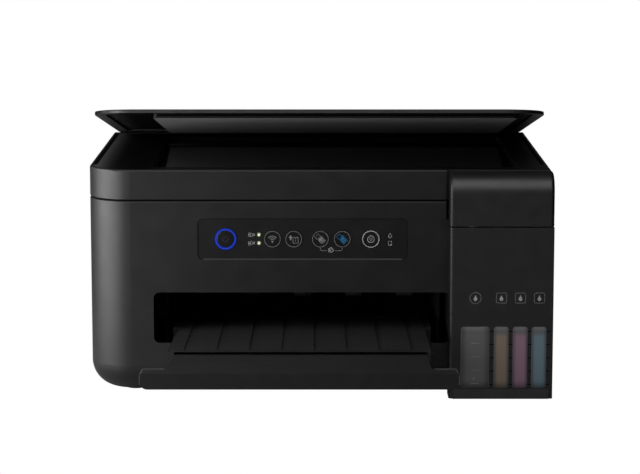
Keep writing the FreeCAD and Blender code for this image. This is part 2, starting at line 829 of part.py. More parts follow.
def tank_housing():
    top = COVER_SEAM - SEAM_GAP
    shell = tank_plan(0.0, FOOT_HEIGHT, top)
    below = tank_plan(TANK_WALL, FLOOR_Z, TANK_DECK_TOP - TANK_DECK_THICK)
    above = tank_plan(TANK_WALL, TANK_DECK_TOP, top + 1)
    shell = cut(shell, below, above)
    side = box(RIGHT - TANK_WALL, RIGHT, COVER_REAR, TANK_BAY_DEPTH - SEAT, top - 1, HOUSING_TOP)
    front = -TANK_REACH
    plinth = prism_x(
        [
            (front, FOOT_HEIGHT),
            (front, PLINTH_TOP),
            (front - PLINTH_PROUD, PLINTH_TOP - 2 * PLINTH_PROUD),
            (front - PLINTH_PROUD, FOOT_HEIGHT),
        ],
        TANK_LEFT + TANK_EDGE_R,
        RIGHT - TANK_EDGE_R,
    )
    ears = cover_ears()
    for x, y in ports():
        ears.extend(cap_ears(x))
    shell = fuse(shell, side, plinth, *ears)
    tools = []
    for x0, x1 in WINDOWS.values():
        tools.append(slab_y(x0, x1, WINDOW_BOTTOM, WINDOW_TOP, WINDOW_R, front - 1, front + TANK_WALL + 1))
    for x, y in ports():
        tools.append(rod_z(TANK_DECK_TOP - 5, PORT_TOP, x, y, PORT_R + SEAT))
    for x in tube_starts():
        tools.append(rod_z(TANK_DECK_TOP - 5, TANK_DECK_TOP + 1, x, TUBE_TANK_Y, TUBE_R + SEAT))
    first = WINDOWS["black"][1]
    for z in LEVEL_MARKS:
        low = z - LEVEL_MARK_HEIGHT / 2
        deep = front + LEVEL_MARK_DEPTH
        tools.append(box(first, RIGHT - LEVEL_MARK_END, front - 1, deep, low, low + LEVEL_MARK_HEIGHT))
    return cut(shell, *tools)


def ink_tank(colour):
    x0, x1 = WINDOWS[colour]
    back_of_wall = -TANK_REACH + TANK_WALL
    body = box(x0 - INK_TANK_LAP, x1 + INK_TANK_LAP, back_of_wall, INK_TANK_REAR, FLOOR_Z, INK_TANK_TOP)
    face = -TANK_REACH - INK_TANK_PROUD
    boss = slab_y(
        x0 + SEAT,
        x1 - SEAT,
        WINDOW_BOTTOM + SEAT,
        WINDOW_TOP - SEAT,
        WINDOW_R - SEAT,
        face,
        back_of_wall + 1,
    )
    x = (x0 + x1) / 2
    neck = rod_z(INK_TANK_TOP - 1, PORT_TOP, x, PORT_Y, PORT_R)
    w = INK_TANK_WALL
    hollow = box(
        x0 - INK_TANK_LAP + w,
        x1 + INK_TANK_LAP - w,
        back_of_wall + w,
        INK_TANK_REAR - w,
        FLOOR_Z + w,
        INK_TANK_TOP - w,
    )
    pocket = box(
        x0 + SEAT + w,
        x1 - SEAT - w,
        face + w,
        back_of_wall + w + 1,
        WINDOW_BOTTOM + SEAT + w,
        WINDOW_TOP - SEAT - w,
    )
    bore = rod_z(INK_TANK_TOP - w - 1, PORT_TOP + 1, x, PORT_Y, PORT_BORE_R)
    return cut(fuse(body, boss, neck), hollow, pocket, bore)


def ink_cap(colour):
    x0, x1 = WINDOWS[colour]
    x = (x0 + x1) / 2
    low = PORT_TOP + CAP_GAP
    disc = rod_z(low, low + CAP_THICK, x, PORT_Y, CAP_R)
    disc = disc.makeFillet(CAP_EDGE_R, edges_where(disc, lambda b: at_z(b, low + CAP_THICK)))
    plug = rod_z(PORT_TOP - CAP_PLUG_DEPTH, low + 1, x, PORT_Y, CAP_PLUG_R)
    step = low + CAP_STEP
    tip = PORT_Y - CAP_R - CAP_TAB
    tab = box(x - CAP_TAB_HALF, x + CAP_TAB_HALF, tip, PORT_Y, step, step + CAP_TAB_THICK)
    high = low + CAP_THICK - CAP_STEP
    lug = box(x - CAP_LUG_HALF, x + CAP_LUG_HALF, PORT_Y, CAP_AXIS_Y, step, high)
    barrel = rod_x(x - CAP_LUG_HALF, x + CAP_LUG_HALF, CAP_AXIS_Y, CAP_AXIS_Z, CAP_BARREL_R)
    reach = CAP_LUG_HALF + RUN + EAR_THICK
    pin = rod_x(x - reach, x + reach, CAP_AXIS_Y, CAP_AXIS_Z, CAP_PIN_R)
    return fuse(disc, plug, tab, lug, barrel, pin)


def tank_cover():
    low = COVER_SEAM + SEAM_GAP
    hood = box(TANK_LEFT, RIGHT, -TANK_REACH, COVER_REAR, low, BED_TOP)
    top_front = edges_where(hood, lambda b: b.YMax < -TANK_REACH + 0.01 and at_z(b, BED_TOP))
    hood = hood.makeFillet(COVER_FRONT_R, top_front)
    top_rear = edges_where(hood, lambda b: b.YMin > COVER_REAR - 0.01 and at_z(b, BED_TOP))
    hood = hood.makeFillet(COVER_REAR_R, top_rear)
    for x in (TANK_LEFT, RIGHT):
        rim = edges_where(hood, lambda b: abs(b.XMin - x) < 0.01 and abs(b.XMax - x) < 0.01)
        rim = [e for e in rim if e.BoundBox.ZMax > low + 1 and e.BoundBox.YMin < COVER_REAR - 0.1]
        rim = [e for e in rim if e.BoundBox.YMin < COVER_REAR - COVER_REAR_R - 0.1]
        hood = hood.makeFillet(TANK_EDGE_R, rim)
    w = TANK_WALL
    inside = box(TANK_LEFT + w, RIGHT - w, -TANK_REACH + w, BIG, low - 1, BED_TOP - w)
    top_front = edges_where(inside, lambda b: b.YMax < -TANK_REACH + w + 0.01 and at_z(b, BED_TOP - w))
    inside = inside.makeFillet(COVER_FRONT_R - w, top_front)
    rear = box(TANK_LEFT - 1, RIGHT + 1, COVER_SIDE_REAR, BIG, low - 1, BED_TOP - COVER_TOP_STRIP)
    hood = cut(hood, inside, rear)
    pins = []
    near = TANK_LEFT + w
    far = RIGHT - w
    pins.append(rod_x(near - 1, near + COVER_PIN_LENGTH, COVER_AXIS_Y, COVER_AXIS_Z, COVER_PIN_R))
    pins.append(rod_x(far - COVER_PIN_LENGTH, far + 1, COVER_AXIS_Y, COVER_AXIS_Z, COVER_PIN_R))
    return fuse(hood, *pins)


# Scanner unit


def scanner_plan(inset, rear, z0, z1):
    points = [
        (LEFT + inset, inset),
        (RIGHT - SCANNER_SIDE_INSET - inset, inset),
        (RIGHT - SCANNER_SIDE_INSET - inset, rear),
        (LEFT + inset, rear),
    ]
    return plan(points, FRONT_CORNER_R - inset, z0, z1)


def lid_ears():
    ears = []
    hole = LID_PIN_R + SHAFT_FIT
    for side in (-LID_LUG_X, LID_LUG_X):
        inner = LID_LUG_HALF + RUN
        outer = inner + LID_EAR_THICK
        low = REAR_STEP_TOP - 1
        ears.append(ear(side - outer, side - inner, LID_AXIS_Y, LID_AXIS_Z, LID_EAR_R, low, hole))
        ears.append(ear(side + inner, side + outer, LID_AXIS_Y, LID_AXIS_Z, LID_EAR_R, low, hole))
    return ears


def scanner_tub():
    floor = SCANNER_BOTTOM + WALL
    ledge = SCANNER_RIM + SCANNER_LEDGE
    ledge_z = BED_TOP - FRAME_SINK - FRAME_THICK
    rear = LUG_POCKET_START - REAR_WALL
    outside = scanner_plan(0.0, SCANNER_REAR, SCANNER_BOTTOM, BED_TOP)
    rim = edges_where(outside, lambda b: at_z(b, BED_TOP) and b.YMin < SCANNER_REAR - 1)
    outside = outside.makeFillet(SCANNER_EDGE_R, rim)
    pocket = scanner_plan(ledge, rear - SCANNER_LEDGE, floor, BED_TOP + 1)
    seat = scanner_plan(SCANNER_RIM, rear, ledge_z, BED_TOP + 1)
    step = box(LEFT - 1, RIGHT + 1, REAR_STEP_START, SCANNER_REAR + 1, REAR_STEP_TOP, BIG)
    notch = box(FINGER_GAP_X, BAY_X, -1, SCANNER_NOTCH, SCANNER_BOTTOM - 1, BIG)
    reach = LID_LUG_HALF + LID_EAR_THICK + 3 * RUN
    pockets = []
    end = REAR_STEP_START + 1
    for side in (-LID_LUG_X, LID_LUG_X):
        pockets.append(box(side - reach, side + reach, LUG_POCKET_START, end, REAR_STEP_TOP, BIG))
    tub = cut(outside, pocket, seat, step, notch, *pockets)
    half = SCAN_RAIL_WIDTH / 2
    rail = box(
        LEFT + ledge - 1,
        RIGHT - SCANNER_SIDE_INSET - ledge + 1,
        SCAN_RAIL_Y - half,
        SCAN_RAIL_Y + half,
        floor - 1,
        floor + SCAN_RAIL_HEIGHT,
    )
    lugs = []
    for side in (-SCAN_HINGE_X, SCAN_HINGE_X):
        x0 = side - SCAN_LUG_HALF
        x1 = side + SCAN_LUG_HALF
        barrel = rod_x(x0, x1, SCAN_HINGE_Y, SCAN_HINGE_Z, SCAN_LUG_R)
        neck = box(x0, x1, SCAN_HINGE_Y - SCAN_LUG_R, SCAN_HINGE_Y, SCAN_HINGE_Z, SCANNER_BOTTOM + 1)
        hole = rod_x(x0 - 1, x1 + 1, SCAN_HINGE_Y, SCAN_HINGE_Z, SCAN_PIN_R + SHAFT_FIT)
        lugs.append(cut(fuse(barrel, neck), hole))
    return fuse(tub, rail, *lugs, *lid_ears())


def scanner_frame():
    top = BED_TOP - FRAME_SINK
    rear = LUG_POCKET_START - REAR_WALL - FRAME_GAP
    frame = scanner_plan(SCANNER_RIM + FRAME_GAP, rear, top - FRAME_THICK, top)
    window = box(GLASS_LEFT, GLASS_RIGHT, GLASS_FRONT, GLASS_BACK, top - FRAME_THICK - 1, top + 1)
    edges = edges_where(window, lambda b: b.ZMax - b.ZMin > 1)
    return cut(frame, window.makeFillet(GLASS_CORNER_R, edges))


def scanner_glass():
    top = BED_TOP - FRAME_SINK - FRAME_THICK
    lap = GLASS_LAP
    return box(
        GLASS_LEFT - lap,
        GLASS_RIGHT + lap,
        GLASS_FRONT - lap,
        GLASS_BACK + lap,
        top - GLASS_THICK,
        top,
    )


def scan_sensor_bar():
    floor = SCANNER_BOTTOM + WALL
    low = floor + SCAN_RAIL_HEIGHT / 2
    x0 = SCAN_BAR_HOME - SCAN_BAR_WIDTH / 2
    x1 = SCAN_BAR_HOME + SCAN_BAR_WIDTH / 2
    y0 = GLASS_FRONT - SCAN_BAR_MARGIN
    y1 = GLASS_BACK + SCAN_BAR_MARGIN
    bar = box(x0, x1, y0, y1, low, low + SCAN_BAR_HEIGHT)
    half = SCAN_RAIL_WIDTH / 2 + RUN
    slot = box(x0 - 1, x1 + 1, SCAN_RAIL_Y - half, SCAN_RAIL_Y + half, 0, floor + SCAN_RAIL_HEIGHT + RUN)
    lens = box(
        SCAN_BAR_HOME - SCAN_LENS_HALF,
        SCAN_BAR_HOME + SCAN_LENS_HALF,
        y0 + SCAN_LENS_END,
        y1 - SCAN_LENS_END,
        low + SCAN_BAR_HEIGHT - SCAN_LENS_DEPTH,
        BIG,
    )
    return cut(bar, slot, lens)


def scanner_hinge_pins():
    reach = SCAN_LUG_HALF + SCAN_EAR_GAP + SCAN_EAR_THICK
    sides = (-SCAN_HINGE_X, SCAN_HINGE_X)
    return solids(*[rod_x(s - reach, s + reach, SCAN_HINGE_Y, SCAN_HINGE_Z, SCAN_PIN_R) for s in sides])


def lid_hinge_pins():
    reach = LID_LUG_HALF + RUN + LID_EAR_THICK
    sides = (-LID_LUG_X, LID_LUG_X)
    return solids(*[rod_x(s - reach, s + reach, LID_AXIS_Y, LID_AXIS_Z, LID_PIN_R) for s in sides])


# Document cover, built closed and then swung open about its hinge


def swing_lid(shape):
    turned = shape.copy()
    turned.rotate(V(0, LID_AXIS_Y, LID_AXIS_Z), AXIS_X, -LID_OPEN)
    return turned


def lid_slab(inset, rear, z0, z1):
    """A plate inside the lid's outline with its two front corners rounded."""
    x0 = LEFT + LID_SIDE_INSET + inset
    x1 = RIGHT - LID_SIDE_INSET - inset
    y0 = LID_FRONT + inset
    plate = box(x0, x1, y0, rear, z0, z1)
    front = edges_where(plate, lambda b: b.YMax < y0 + 0.01 and b.XMax - b.XMin < 0.01)
    return plate.makeFillet(LID_FRONT_R - inset, front)


def crowned_lid():
    """The lid's shell: thin at the edge, rising to a flat top along the front and sides."""
    top = LID_BOTTOM + LID_EDGE + LID_CROWN
    slab = lid_slab(0.0, LID_REAR, LID_BOTTOM, top)
    brow = edges_where(slab, lambda b: at_z(b, top) and b.YMin < LID_REAR - 1)
    slab = slab.makeChamfer(LID_CROWN, LID_CROWN_RUN, brow)
    if slab.BoundBox.ZMax > top + 0.01 or slab.Volume < 1:
        raise ValueError("the crown of the lid failed")
    corners = edges_where(slab, lambda b: b.YMin > LID_REAR - 0.01 and b.XMax - b.XMin < 0.01)
    slab = slab.makeFillet(LID_REAR_R, corners)
    shoulder = LID_BOTTOM + LID_EDGE
    edge = edges_where(slab, lambda b: at_z(b, shoulder) and b.YMax < LID_REAR - LID_REAR_R + 0.1)
    return slab.makeFillet(LID_EDGE_R, edge)


def document_cover():
    slab = crowned_lid()
    recess = lid_slab(LID_RIM, LID_AXIS_Y - LID_SPINE, LID_BOTTOM - 1, LID_BOTTOM + LID_RECESS)
    shoulder = LID_BOTTOM + LID_EDGE
    notch = box(
        LID_NOTCH_LEFT,
        LID_NOTCH_RIGHT,
        0,
        LID_FRONT + LID_NOTCH_LENGTH,
        shoulder - LID_NOTCH_DEPTH,
        shoulder + LID_CROWN + 1,
    )
    slab = cut(slab, recess, notch)
    lugs = []
    pockets = []
    for side in (-LID_LUG_X, LID_LUG_X):
        x0 = side - LID_LUG_HALF
        x1 = side + LID_LUG_HALF
        reach = LID_LUG_HALF + 2 * RUN + LID_EAR_THICK
        round_r = LID_EAR_R + 2 * RUN
        pockets.append(rod_x(side - reach, side + reach, LID_AXIS_Y, LID_AXIS_Z, round_r))
        above = LID_AXIS_Z + round_r
        pockets.append(box(side - reach, side + reach, LID_AXIS_Y, LID_REAR + 1, LID_BOTTOM - 1, above))
        barrel = rod_x(x0, x1, LID_AXIS_Y, LID_AXIS_Z, LID_LUG_R)
        neck = box(x0, x1, LID_AXIS_Y - LID_LUG_R, LID_AXIS_Y + LID_LUG_R, LID_AXIS_Z, shoulder)
        hole = rod_x(x0 - 1, x1 + 1, LID_AXIS_Y, LID_AXIS_Z, LID_PIN_R + SHAFT_FIT)
        lugs.append(cut(fuse(barrel, neck), hole))
    return swing_lid(fuse(cut(slab, *pockets), *lugs))


def document_mat():
    mat = box(
        GLASS_LEFT + MAT_GAP,
        GLASS_RIGHT - MAT_GAP,
        GLASS_FRONT + MAT_GAP,
        GLASS_BACK - MAT_GAP,
        LID_BOTTOM - MAT_PROUD,
        LID_BOTTOM + LID_RECESS - MAT_GLUE,
    )
    edges = edges_where(mat, lambda b: b.ZMax - b.ZMin > 1)
    return swing_lid(mat.makeFillet(MAT_CORNER_R, edges))


# Output tray, built level and then laid on its slope

TRAY_BASE = OUTLET_BOTTOM + TRAY_DROP_GAP
TRAY_RUN = TRAY_REACH / math.cos(math.radians(TRAY_SLOPE))


def on_slope(shape):
    placed = shape.copy()
    placed.rotate(V(0, 0, 0), AXIS_X, -TRAY_SLOPE)
    placed.translate(V(0, 0, TRAY_BASE))
    return placed


def output_tray():
    x0 = PAPER_X - TRAY_HALF
    x1 = PAPER_X + TRAY_HALF
    y0 = TRAY_FRONT
    y1 = TRAY_FRONT + TRAY_LENGTH
    block = box(x0, x1, y0, y1, TRAY_LIP_BASE, TRAY_TOP)
    channel = box(
        x0 + TRAY_SIDE,
        x1 - TRAY_SIDE,
        y0 - 1,
        y1 - TRAY_SIDE,
        EXTENSION_BASE - RUN,
        TRAY_TOP - TRAY_PLATE,
    )
    open_under = box(
        x0 + TRAY_LIP,
        x1 - TRAY_LIP,
        y0 - 1,
        y1 - TRAY_SIDE,
        TRAY_LIP_BASE - 1,
        EXTENSION_BASE,
    )
    tongue = box(x0 - TRAY_TONGUE, x1 + TRAY_TONGUE, y0 + TONGUE_START, y1, TONGUE_BASE, TONGUE_TOP)
    pitch = (x1 - x0) / TRAY_GROOVES
    grooves = []
    for k in range(TRAY_GROOVES):
        x = x0 + pitch * (k + 0.5)
        half = TRAY_GROOVE_WIDTH / 2
        end = y1 - TRAY_GROOVE_END
        grooves.append(box(x - half, x + half, y0 - 1, end, TRAY_TOP - TRAY_GROOVE_DEPTH, TRAY_TOP + 1))
    tray = cut(fuse(block, tongue), channel, open_under, *grooves)
    return on_slope(tray)


def tray_extension():
    y0 = -TRAY_RUN
    bar = slab_y(PAPER_X - BAR_HALF, PAPER_X + BAR_HALF, 0, BAR_HEIGHT, BAR_EDGE_R, y0, y0 + BAR_DEPTH)
    corner = slab_y(
        PAPER_X - BAR_HALF,
        PAPER_X + BAR_HALF,
        0,
        BAR_HEIGHT + 2 * BAR_CORNER_R,
        BAR_CORNER_R,
        y0 - 1,
        y0 + BAR_DEPTH + 1,
    )
    bar = bar.common(corner)
    half = TRAY_HALF - TRAY_SIDE - RUN
    top = EXTENSION_BASE + EXTENSION_THICK
    plate = box(PAPER_X - half, PAPER_X + half, y0 + BAR_DEPTH - 1, EXTENSION_BACK, EXTENSION_BASE, top)
    return on_slope(fuse(bar, plate))


# Print engine


def gear(teeth, x0, x1, y, z, phase, bore):
    """A spur gear about an axis along X; phase is the angle of one tooth from +Y towards +Z."""
    pitch_r = MODULE * teeth / 2
    base_r = pitch_r * math.cos(math.radians(PRESSURE))
    tip_r = pitch_r + ADDENDUM * MODULE
    root_r = pitch_r - DEDENDUM * MODULE
    start_r = max(base_r, root_r)
    tan_p = math.tan(math.radians(PRESSURE))
    half = math.pi / (2 * teeth) - BACKLASH / (2 * pitch_r) + tan_p - math.radians(PRESSURE)

    def flank(r):
        lean = math.acos(min(1.0, base_r / r))
        return half - (math.tan(lean) - lean)

    steps = [root_r, start_r, (start_r + tip_r) / 2, tip_r]
    if root_r >= base_r:
        steps = steps[1:]
    loop = []
    for k in range(teeth):
        middle = math.radians(phase) + 2 * math.pi * k / teeth
        for r in steps:
            a = middle - flank(max(r, start_r))
            loop.append(V(x0, y + r * math.cos(a), z + r * math.sin(a)))
        for r in reversed(steps):
            a = middle + flank(max(r, start_r))
            loop.append(V(x0, y + r * math.cos(a), z + r * math.sin(a)))
    face = Part.Face(Part.makePolygon(loop + [loop[0]]))
    wheel = face.extrude(V(x1 - x0, 0, 0))
    return cut(wheel, rod_x(x0 - 1, x1 + 1, y, z, bore))


PLATE_LEFT = PAPER_X - END_PLATE_X - END_PLATE
PLATE_RIGHT = PAPER_X + END_PLATE_X + END_PLATE
GEAR_RIGHT = PLATE_LEFT - GEAR_GAP
GEAR_LEFT = GEAR_RIGHT - GEAR_WIDTH
IDLER_Y = FEED_Y - MODULE * (FEED_TEETH + IDLER_TEETH) / 2
PINION_REACH = MODULE * (FEED_TEETH + PINION_TEETH) / 2
PINION_Y = FEED_Y + PINION_REACH * math.cos(math.radians(PINION_ANGLE))
PINION_Z = ROLLER_Z + PINION_REACH * math.sin(math.radians(PINION_ANGLE))
STAR_Z = ROLLER_Z + EXIT_R + STAR_R + STAR_GAP
PINCH_Z = ROLLER_Z + FEED_R + PINCH_R + STAR_GAP


def end_plate(x0, x1):
    outline = [
        (END_FRONT, BASE_TOP),
        (END_BACK, BASE_TOP),
        (END_BACK, END_LOW),
        (TOWER_BACK, END_LOW),
        (TOWER_BACK, END_HIGH),
        (TOWER_FRONT, END_HIGH),
        (TOWER_FRONT, END_LOW),
        (END_STEP_Y, END_LOW),
        (END_STEP_Y, END_HIGH),
        (END_FRONT, END_HIGH),
    ]
    plate = prism_x(outline, x0, x1)
    holes = [
        rod_x(x0 - 1, x1 + 1, FEED_Y, ROLLER_Z, FEED_JOURNAL_R + SHAFT_FIT),
        rod_x(x0 - 1, x1 + 1, EXIT_Y, ROLLER_Z, EXIT_SHAFT_R + SHAFT_FIT),
        rod_x(x0 - 1, x1 + 1, EXIT_Y, STAR_Z, STAR_AXLE_R + SHAFT_FIT),
        rod_x(x0 - 1, x1 + 1, FEED_Y, PINCH_Z, PINCH_AXLE_R + SHAFT_FIT),
    ]
    return cut(plate, *holes)


def platen():
    x0 = PAPER_X - END_PLATE_X
    x1 = PAPER_X + END_PLATE_X
    table = box(x0 - 1, x1 + 1, TABLE_FRONT, TABLE_BACK, TABLE_BOTTOM, TABLE_TOP)
    ribs = []
    for i in range(RIB_COUNT):
        x = x0 + (x1 - x0) * (i + 0.5) / RIB_COUNT
        high = TABLE_TOP + RIB_HEIGHT
        ribs.append(box(x, x + RIB_WIDTH, TABLE_FRONT, TABLE_BACK, TABLE_TOP - 1, high))
    stub = rod_x(GEAR_LEFT, PLATE_LEFT + 1, IDLER_Y, ROLLER_Z, STUB_R)
    return fuse(end_plate(PLATE_LEFT, x0), end_plate(x1, PLATE_RIGHT), table, stub, *ribs)


def feed_roller():
    journal = rod_x(GEAR_LEFT, PLATE_RIGHT, FEED_Y, ROLLER_Z, FEED_JOURNAL_R)
    drum = rod_x(PAPER_X - ROLLER_HALF, PAPER_X + ROLLER_HALF, FEED_Y, ROLLER_Z, FEED_R)
    bore = FEED_JOURNAL_R + SHAFT_FIT
    wheel = gear(FEED_TEETH, GEAR_LEFT, GEAR_RIGHT, FEED_Y, ROLLER_Z, 180.0, bore)
    return solids(fuse(journal, drum), wheel)


def exit_roller():
    shaft = rod_x(GEAR_LEFT, PLATE_RIGHT, EXIT_Y, ROLLER_Z, EXIT_SHAFT_R)
    rings = []
    for x in ring_places():
        half = EXIT_RING_WIDTH / 2
        rings.append(rod_x(x - half, x + half, EXIT_Y, ROLLER_Z, EXIT_R))
    bore = EXIT_SHAFT_R + SHAFT_FIT
    wheel = gear(EXIT_TEETH, GEAR_LEFT, GEAR_RIGHT, EXIT_Y, ROLLER_Z, 0.0, bore)
    return solids(fuse(shaft, *rings), wheel)


def ring_places():
    step = 2 * ROLLER_HALF / EXIT_RINGS
    return [PAPER_X - ROLLER_HALF + step * (i + 0.5) for i in range(EXIT_RINGS)]


def idler_gear():
    half_pitch = 180.0 / IDLER_TEETH
    bore = STUB_R + SHAFT_FIT
    wheel = gear(IDLER_TEETH, GEAR_LEFT, GEAR_RIGHT, IDLER_Y, ROLLER_Z, half_pitch, bore)
    rim_r = MODULE * (IDLER_TEETH / 2 - DEDENDUM) - IDLER_RIM
    face = GEAR_LEFT + IDLER_WEB
    hub = rod_x(GEAR_LEFT - 1, face, IDLER_Y, ROLLER_Z, IDLER_HUB_R)
    hollow = rod_x(GEAR_LEFT - 1, face, IDLER_Y, ROLLER_Z, rim_r)
    return cut(wheel, cut(hollow, hub))


def motor_pinion():
    phase = PINION_ANGLE + 180.0 + 180.0 / PINION_TEETH
    bore = MOTOR_SHAFT_R + SHAFT_FIT
    return gear(PINION_TEETH, GEAR_LEFT, GEAR_RIGHT, PINION_Y, PINION_Z, phase, bore)


def star_wheels():
    axle = rod_x(PLATE_LEFT, PLATE_RIGHT, EXIT_Y, STAR_Z, STAR_AXLE_R)
    wheels = []
    for x in ring_places():
        outline = []
        for k in range(2 * STAR_POINTS):
            r = STAR_R if k % 2 else STAR_ROOT_R
            a = math.pi * k / STAR_POINTS
            outline.append((EXIT_Y + r * math.cos(a), STAR_Z + r * math.sin(a)))
        wheels.append(prism_x(outline, x - STAR_WIDTH / 2, x + STAR_WIDTH / 2))
    return fuse(axle, *wheels)


def pinch_rollers():
    axle = rod_x(PLATE_LEFT, PLATE_RIGHT, FEED_Y, PINCH_Z, PINCH_AXLE_R)
    half = PINCH_WIDTH / 2
    wheels = [rod_x(x - half, x + half, FEED_Y, PINCH_Z, PINCH_R) for x in ring_places()]
    return fuse(axle, *wheels)


def feed_motor():
    can = rod_x(CHASSIS_LEFT - MOTOR_LENGTH, CHASSIS_LEFT, PINION_Y, PINION_Z, MOTOR_R)
    shaft = rod_x(CHASSIS_LEFT - 1, GEAR_RIGHT, PINION_Y, PINION_Z, MOTOR_SHAFT_R)
    return fuse(can, shaft)


def chassis_frame():
    left = box(CHASSIS_LEFT, CHASSIS_LEFT + SHEET, CHASSIS_FRONT, CHASSIS_BACK, BASE_TOP, CHASSIS_TOP)
    right = box(
        CHASSIS_RIGHT - SHEET,
        CHASSIS_RIGHT,
        TANK_BAY_DEPTH + CHASSIS_BAY_GAP,
        CHASSIS_BACK,
        BASE_TOP,
        CHASSIS_TOP,
    )
    back = box(
        CHASSIS_LEFT,
        CHASSIS_RIGHT,
        CHASSIS_BACK - SHEET,
        CHASSIS_BACK,
        BACK_PLATE_BOTTOM,
        CHASSIS_TOP,
    )
    shelf = box(CHASSIS_LEFT, CHASSIS_RIGHT, RAIL_Y, CHASSIS_BACK, RAIL_BOTTOM, RAIL_BOTTOM + SHEET)
    rail = box(CHASSIS_LEFT, CHASSIS_RIGHT, RAIL_Y, RAIL_Y + SHEET, RAIL_BOTTOM, RAIL_TOP)
    foot_l = box(
        CHASSIS_LEFT - FLANGE,
        CHASSIS_LEFT + 1,
        CHASSIS_FRONT,
        CHASSIS_BACK,
        BASE_TOP,
        BASE_TOP + SHEET,
    )
    foot_r = box(
        CHASSIS_RIGHT - FLANGE,
        CHASSIS_RIGHT,
        TANK_BAY_DEPTH + CHASSIS_BAY_GAP,
        CHASSIS_BACK,
        BASE_TOP,
        BASE_TOP + SHEET,
    )
    pin = rod_y(BELT_Y - 1, CHASSIS_BACK, IDLER_X, PULLEY_Z, MOTOR_SHAFT_R)
    frame = fuse(left, right, back, shelf, rail, foot_l, foot_r, pin)
    motor_hole = rod_x(CHASSIS_LEFT - 1, CHASSIS_LEFT + SHEET + 1, PINION_Y, PINION_Z, MOTOR_BOSS_R)
    pulley_hole = rod_y(CHASSIS_BACK - SHEET - 1, CHASSIS_BACK + 1, DRIVE_X, PULLEY_Z, MOTOR_BOSS_R)
    return cut(frame, motor_hole, pulley_hole)


def pulley(x):
    y0 = BELT_Y - PULLEY_FLANGE
    y1 = BELT_Y + BELT_WIDTH + PULLEY_FLANGE
    hub = rod_y(y0, y1, x, PULLEY_Z, PULLEY_R - SEAT)
    near = rod_y(y0, BELT_Y - RUN, x, PULLEY_Z, PULLEY_FLANGE_R)
    far = rod_y(BELT_Y + BELT_WIDTH + RUN, y1, x, PULLEY_Z, PULLEY_FLANGE_R)
    bore = rod_y(y0 - 1, y1 + 1, x, PULLEY_Z, MOTOR_SHAFT_R + SHAFT_FIT)
    return cut(fuse(hub, near, far), bore)


def belt_loop(r, y0, y1):
    return fuse(
        rod_y(y0, y1, IDLER_X, PULLEY_Z, r),
        rod_y(y0, y1, DRIVE_X, PULLEY_Z, r),
        box(IDLER_X, DRIVE_X, y0, y1, PULLEY_Z - r, PULLEY_Z + r),
    )


def carriage_belt():
    outer = belt_loop(PULLEY_R + BELT_THICK, BELT_Y, BELT_Y + BELT_WIDTH)
    inner = belt_loop(PULLEY_R, BELT_Y - 1, BELT_Y + BELT_WIDTH + 1)
    return cut(outer, inner)


def carriage_motor():
    can = rod_y(CHASSIS_BACK, CHASSIS_BACK + MOTOR_LENGTH, DRIVE_X, PULLEY_Z, CARRIAGE_MOTOR_R)
    shaft = rod_y(BELT_Y - 1, CHASSIS_BACK + 1, DRIVE_X, PULLEY_Z, MOTOR_SHAFT_R)
    return fuse(can, shaft)


def encoder_strip():
    return box(
        CHASSIS_LEFT + SHEET,
        CHASSIS_RIGHT - SHEET,
        STRIP_Y,
        STRIP_Y + STRIP_THICK,
        STRIP_BOTTOM,
        STRIP_TOP,
    )


def print_carriage():
    x = CARRIAGE_HOME
    block = box(
        x - CARRIAGE_HALF,
        x + CARRIAGE_HALF,
        CARRIAGE_FRONT,
        CARRIAGE_BACK,
        CARRIAGE_BOTTOM,
        CARRIAGE_TOP,
    )
    block = block.makeFillet(CARRIAGE_EDGE_R, edges_where(block, lambda b: at_z(b, CARRIAGE_TOP)))
    hook = box(
        x - CARRIAGE_HOOK_HALF,
        x + CARRIAGE_HOOK_HALF,
        CARRIAGE_BACK - 1,
        CARRIAGE_HOOK_BACK,
        HOOK_BOTTOM,
        HOOK_TOP,
    )
    clamp = box(
        x - CLAMP_HALF,
        x + CLAMP_HALF,
        CARRIAGE_HOOK_BACK - 1,
        CLAMP_BACK,
        CLAMP_BOTTOM,
        CLAMP_TOP,
    )
    rail_slot = box(x - BIG, x + BIG, RAIL_Y - RUN, RAIL_Y + SHEET + RUN, 0, RAIL_TOP + RUN)
    strip_slot = box(
        x - BIG,
        x + BIG,
        STRIP_Y - RUN,
        STRIP_Y + STRIP_THICK + RUN,
        STRIP_BOTTOM - RUN,
        BIG,
    )
    belt_top = PULLEY_Z + PULLEY_R
    belt_slot = box(
        x - BIG,
        x + BIG,
        BELT_Y - RUN,
        BELT_Y + BELT_WIDTH + RUN,
        belt_top - RUN,
        belt_top + BELT_THICK + RUN,
    )
    under = box(x - BIG, x + BIG, CARRIAGE_STEP_Y, CARRIAGE_BACK + 1, 0, CARRIAGE_STEP_Z)
    ridges = []
    for place in tube_ends():
        ridges.append(
            box(
                place - RIDGE_HALF,
                place + RIDGE_HALF,
                CARRIAGE_FRONT + RIDGE_INSET,
                TUBE_CARRIAGE_Y + RIDGE_INSET,
                CARRIAGE_TOP - 1,
                CARRIAGE_TOP + RIDGE_HEIGHT,
            )
        )
    body = fuse(block, hook, clamp, *ridges)
    return cut(body, rail_slot, strip_slot, belt_slot, under)


def tube_ends():
    """Where the tubes come down on the carriage."""
    first = CARRIAGE_HOME - TUBE_PITCH * (len(WINDOWS) - 1) / 2
    return [first + TUBE_PITCH * i for i in range(len(WINDOWS))]


def tube_starts():
    """Where the tubes leave the tops of the tanks."""
    return [(x0 + x1) / 2 + TUBE_SHIFT[colour] for colour, (x0, x1) in WINDOWS.items()]


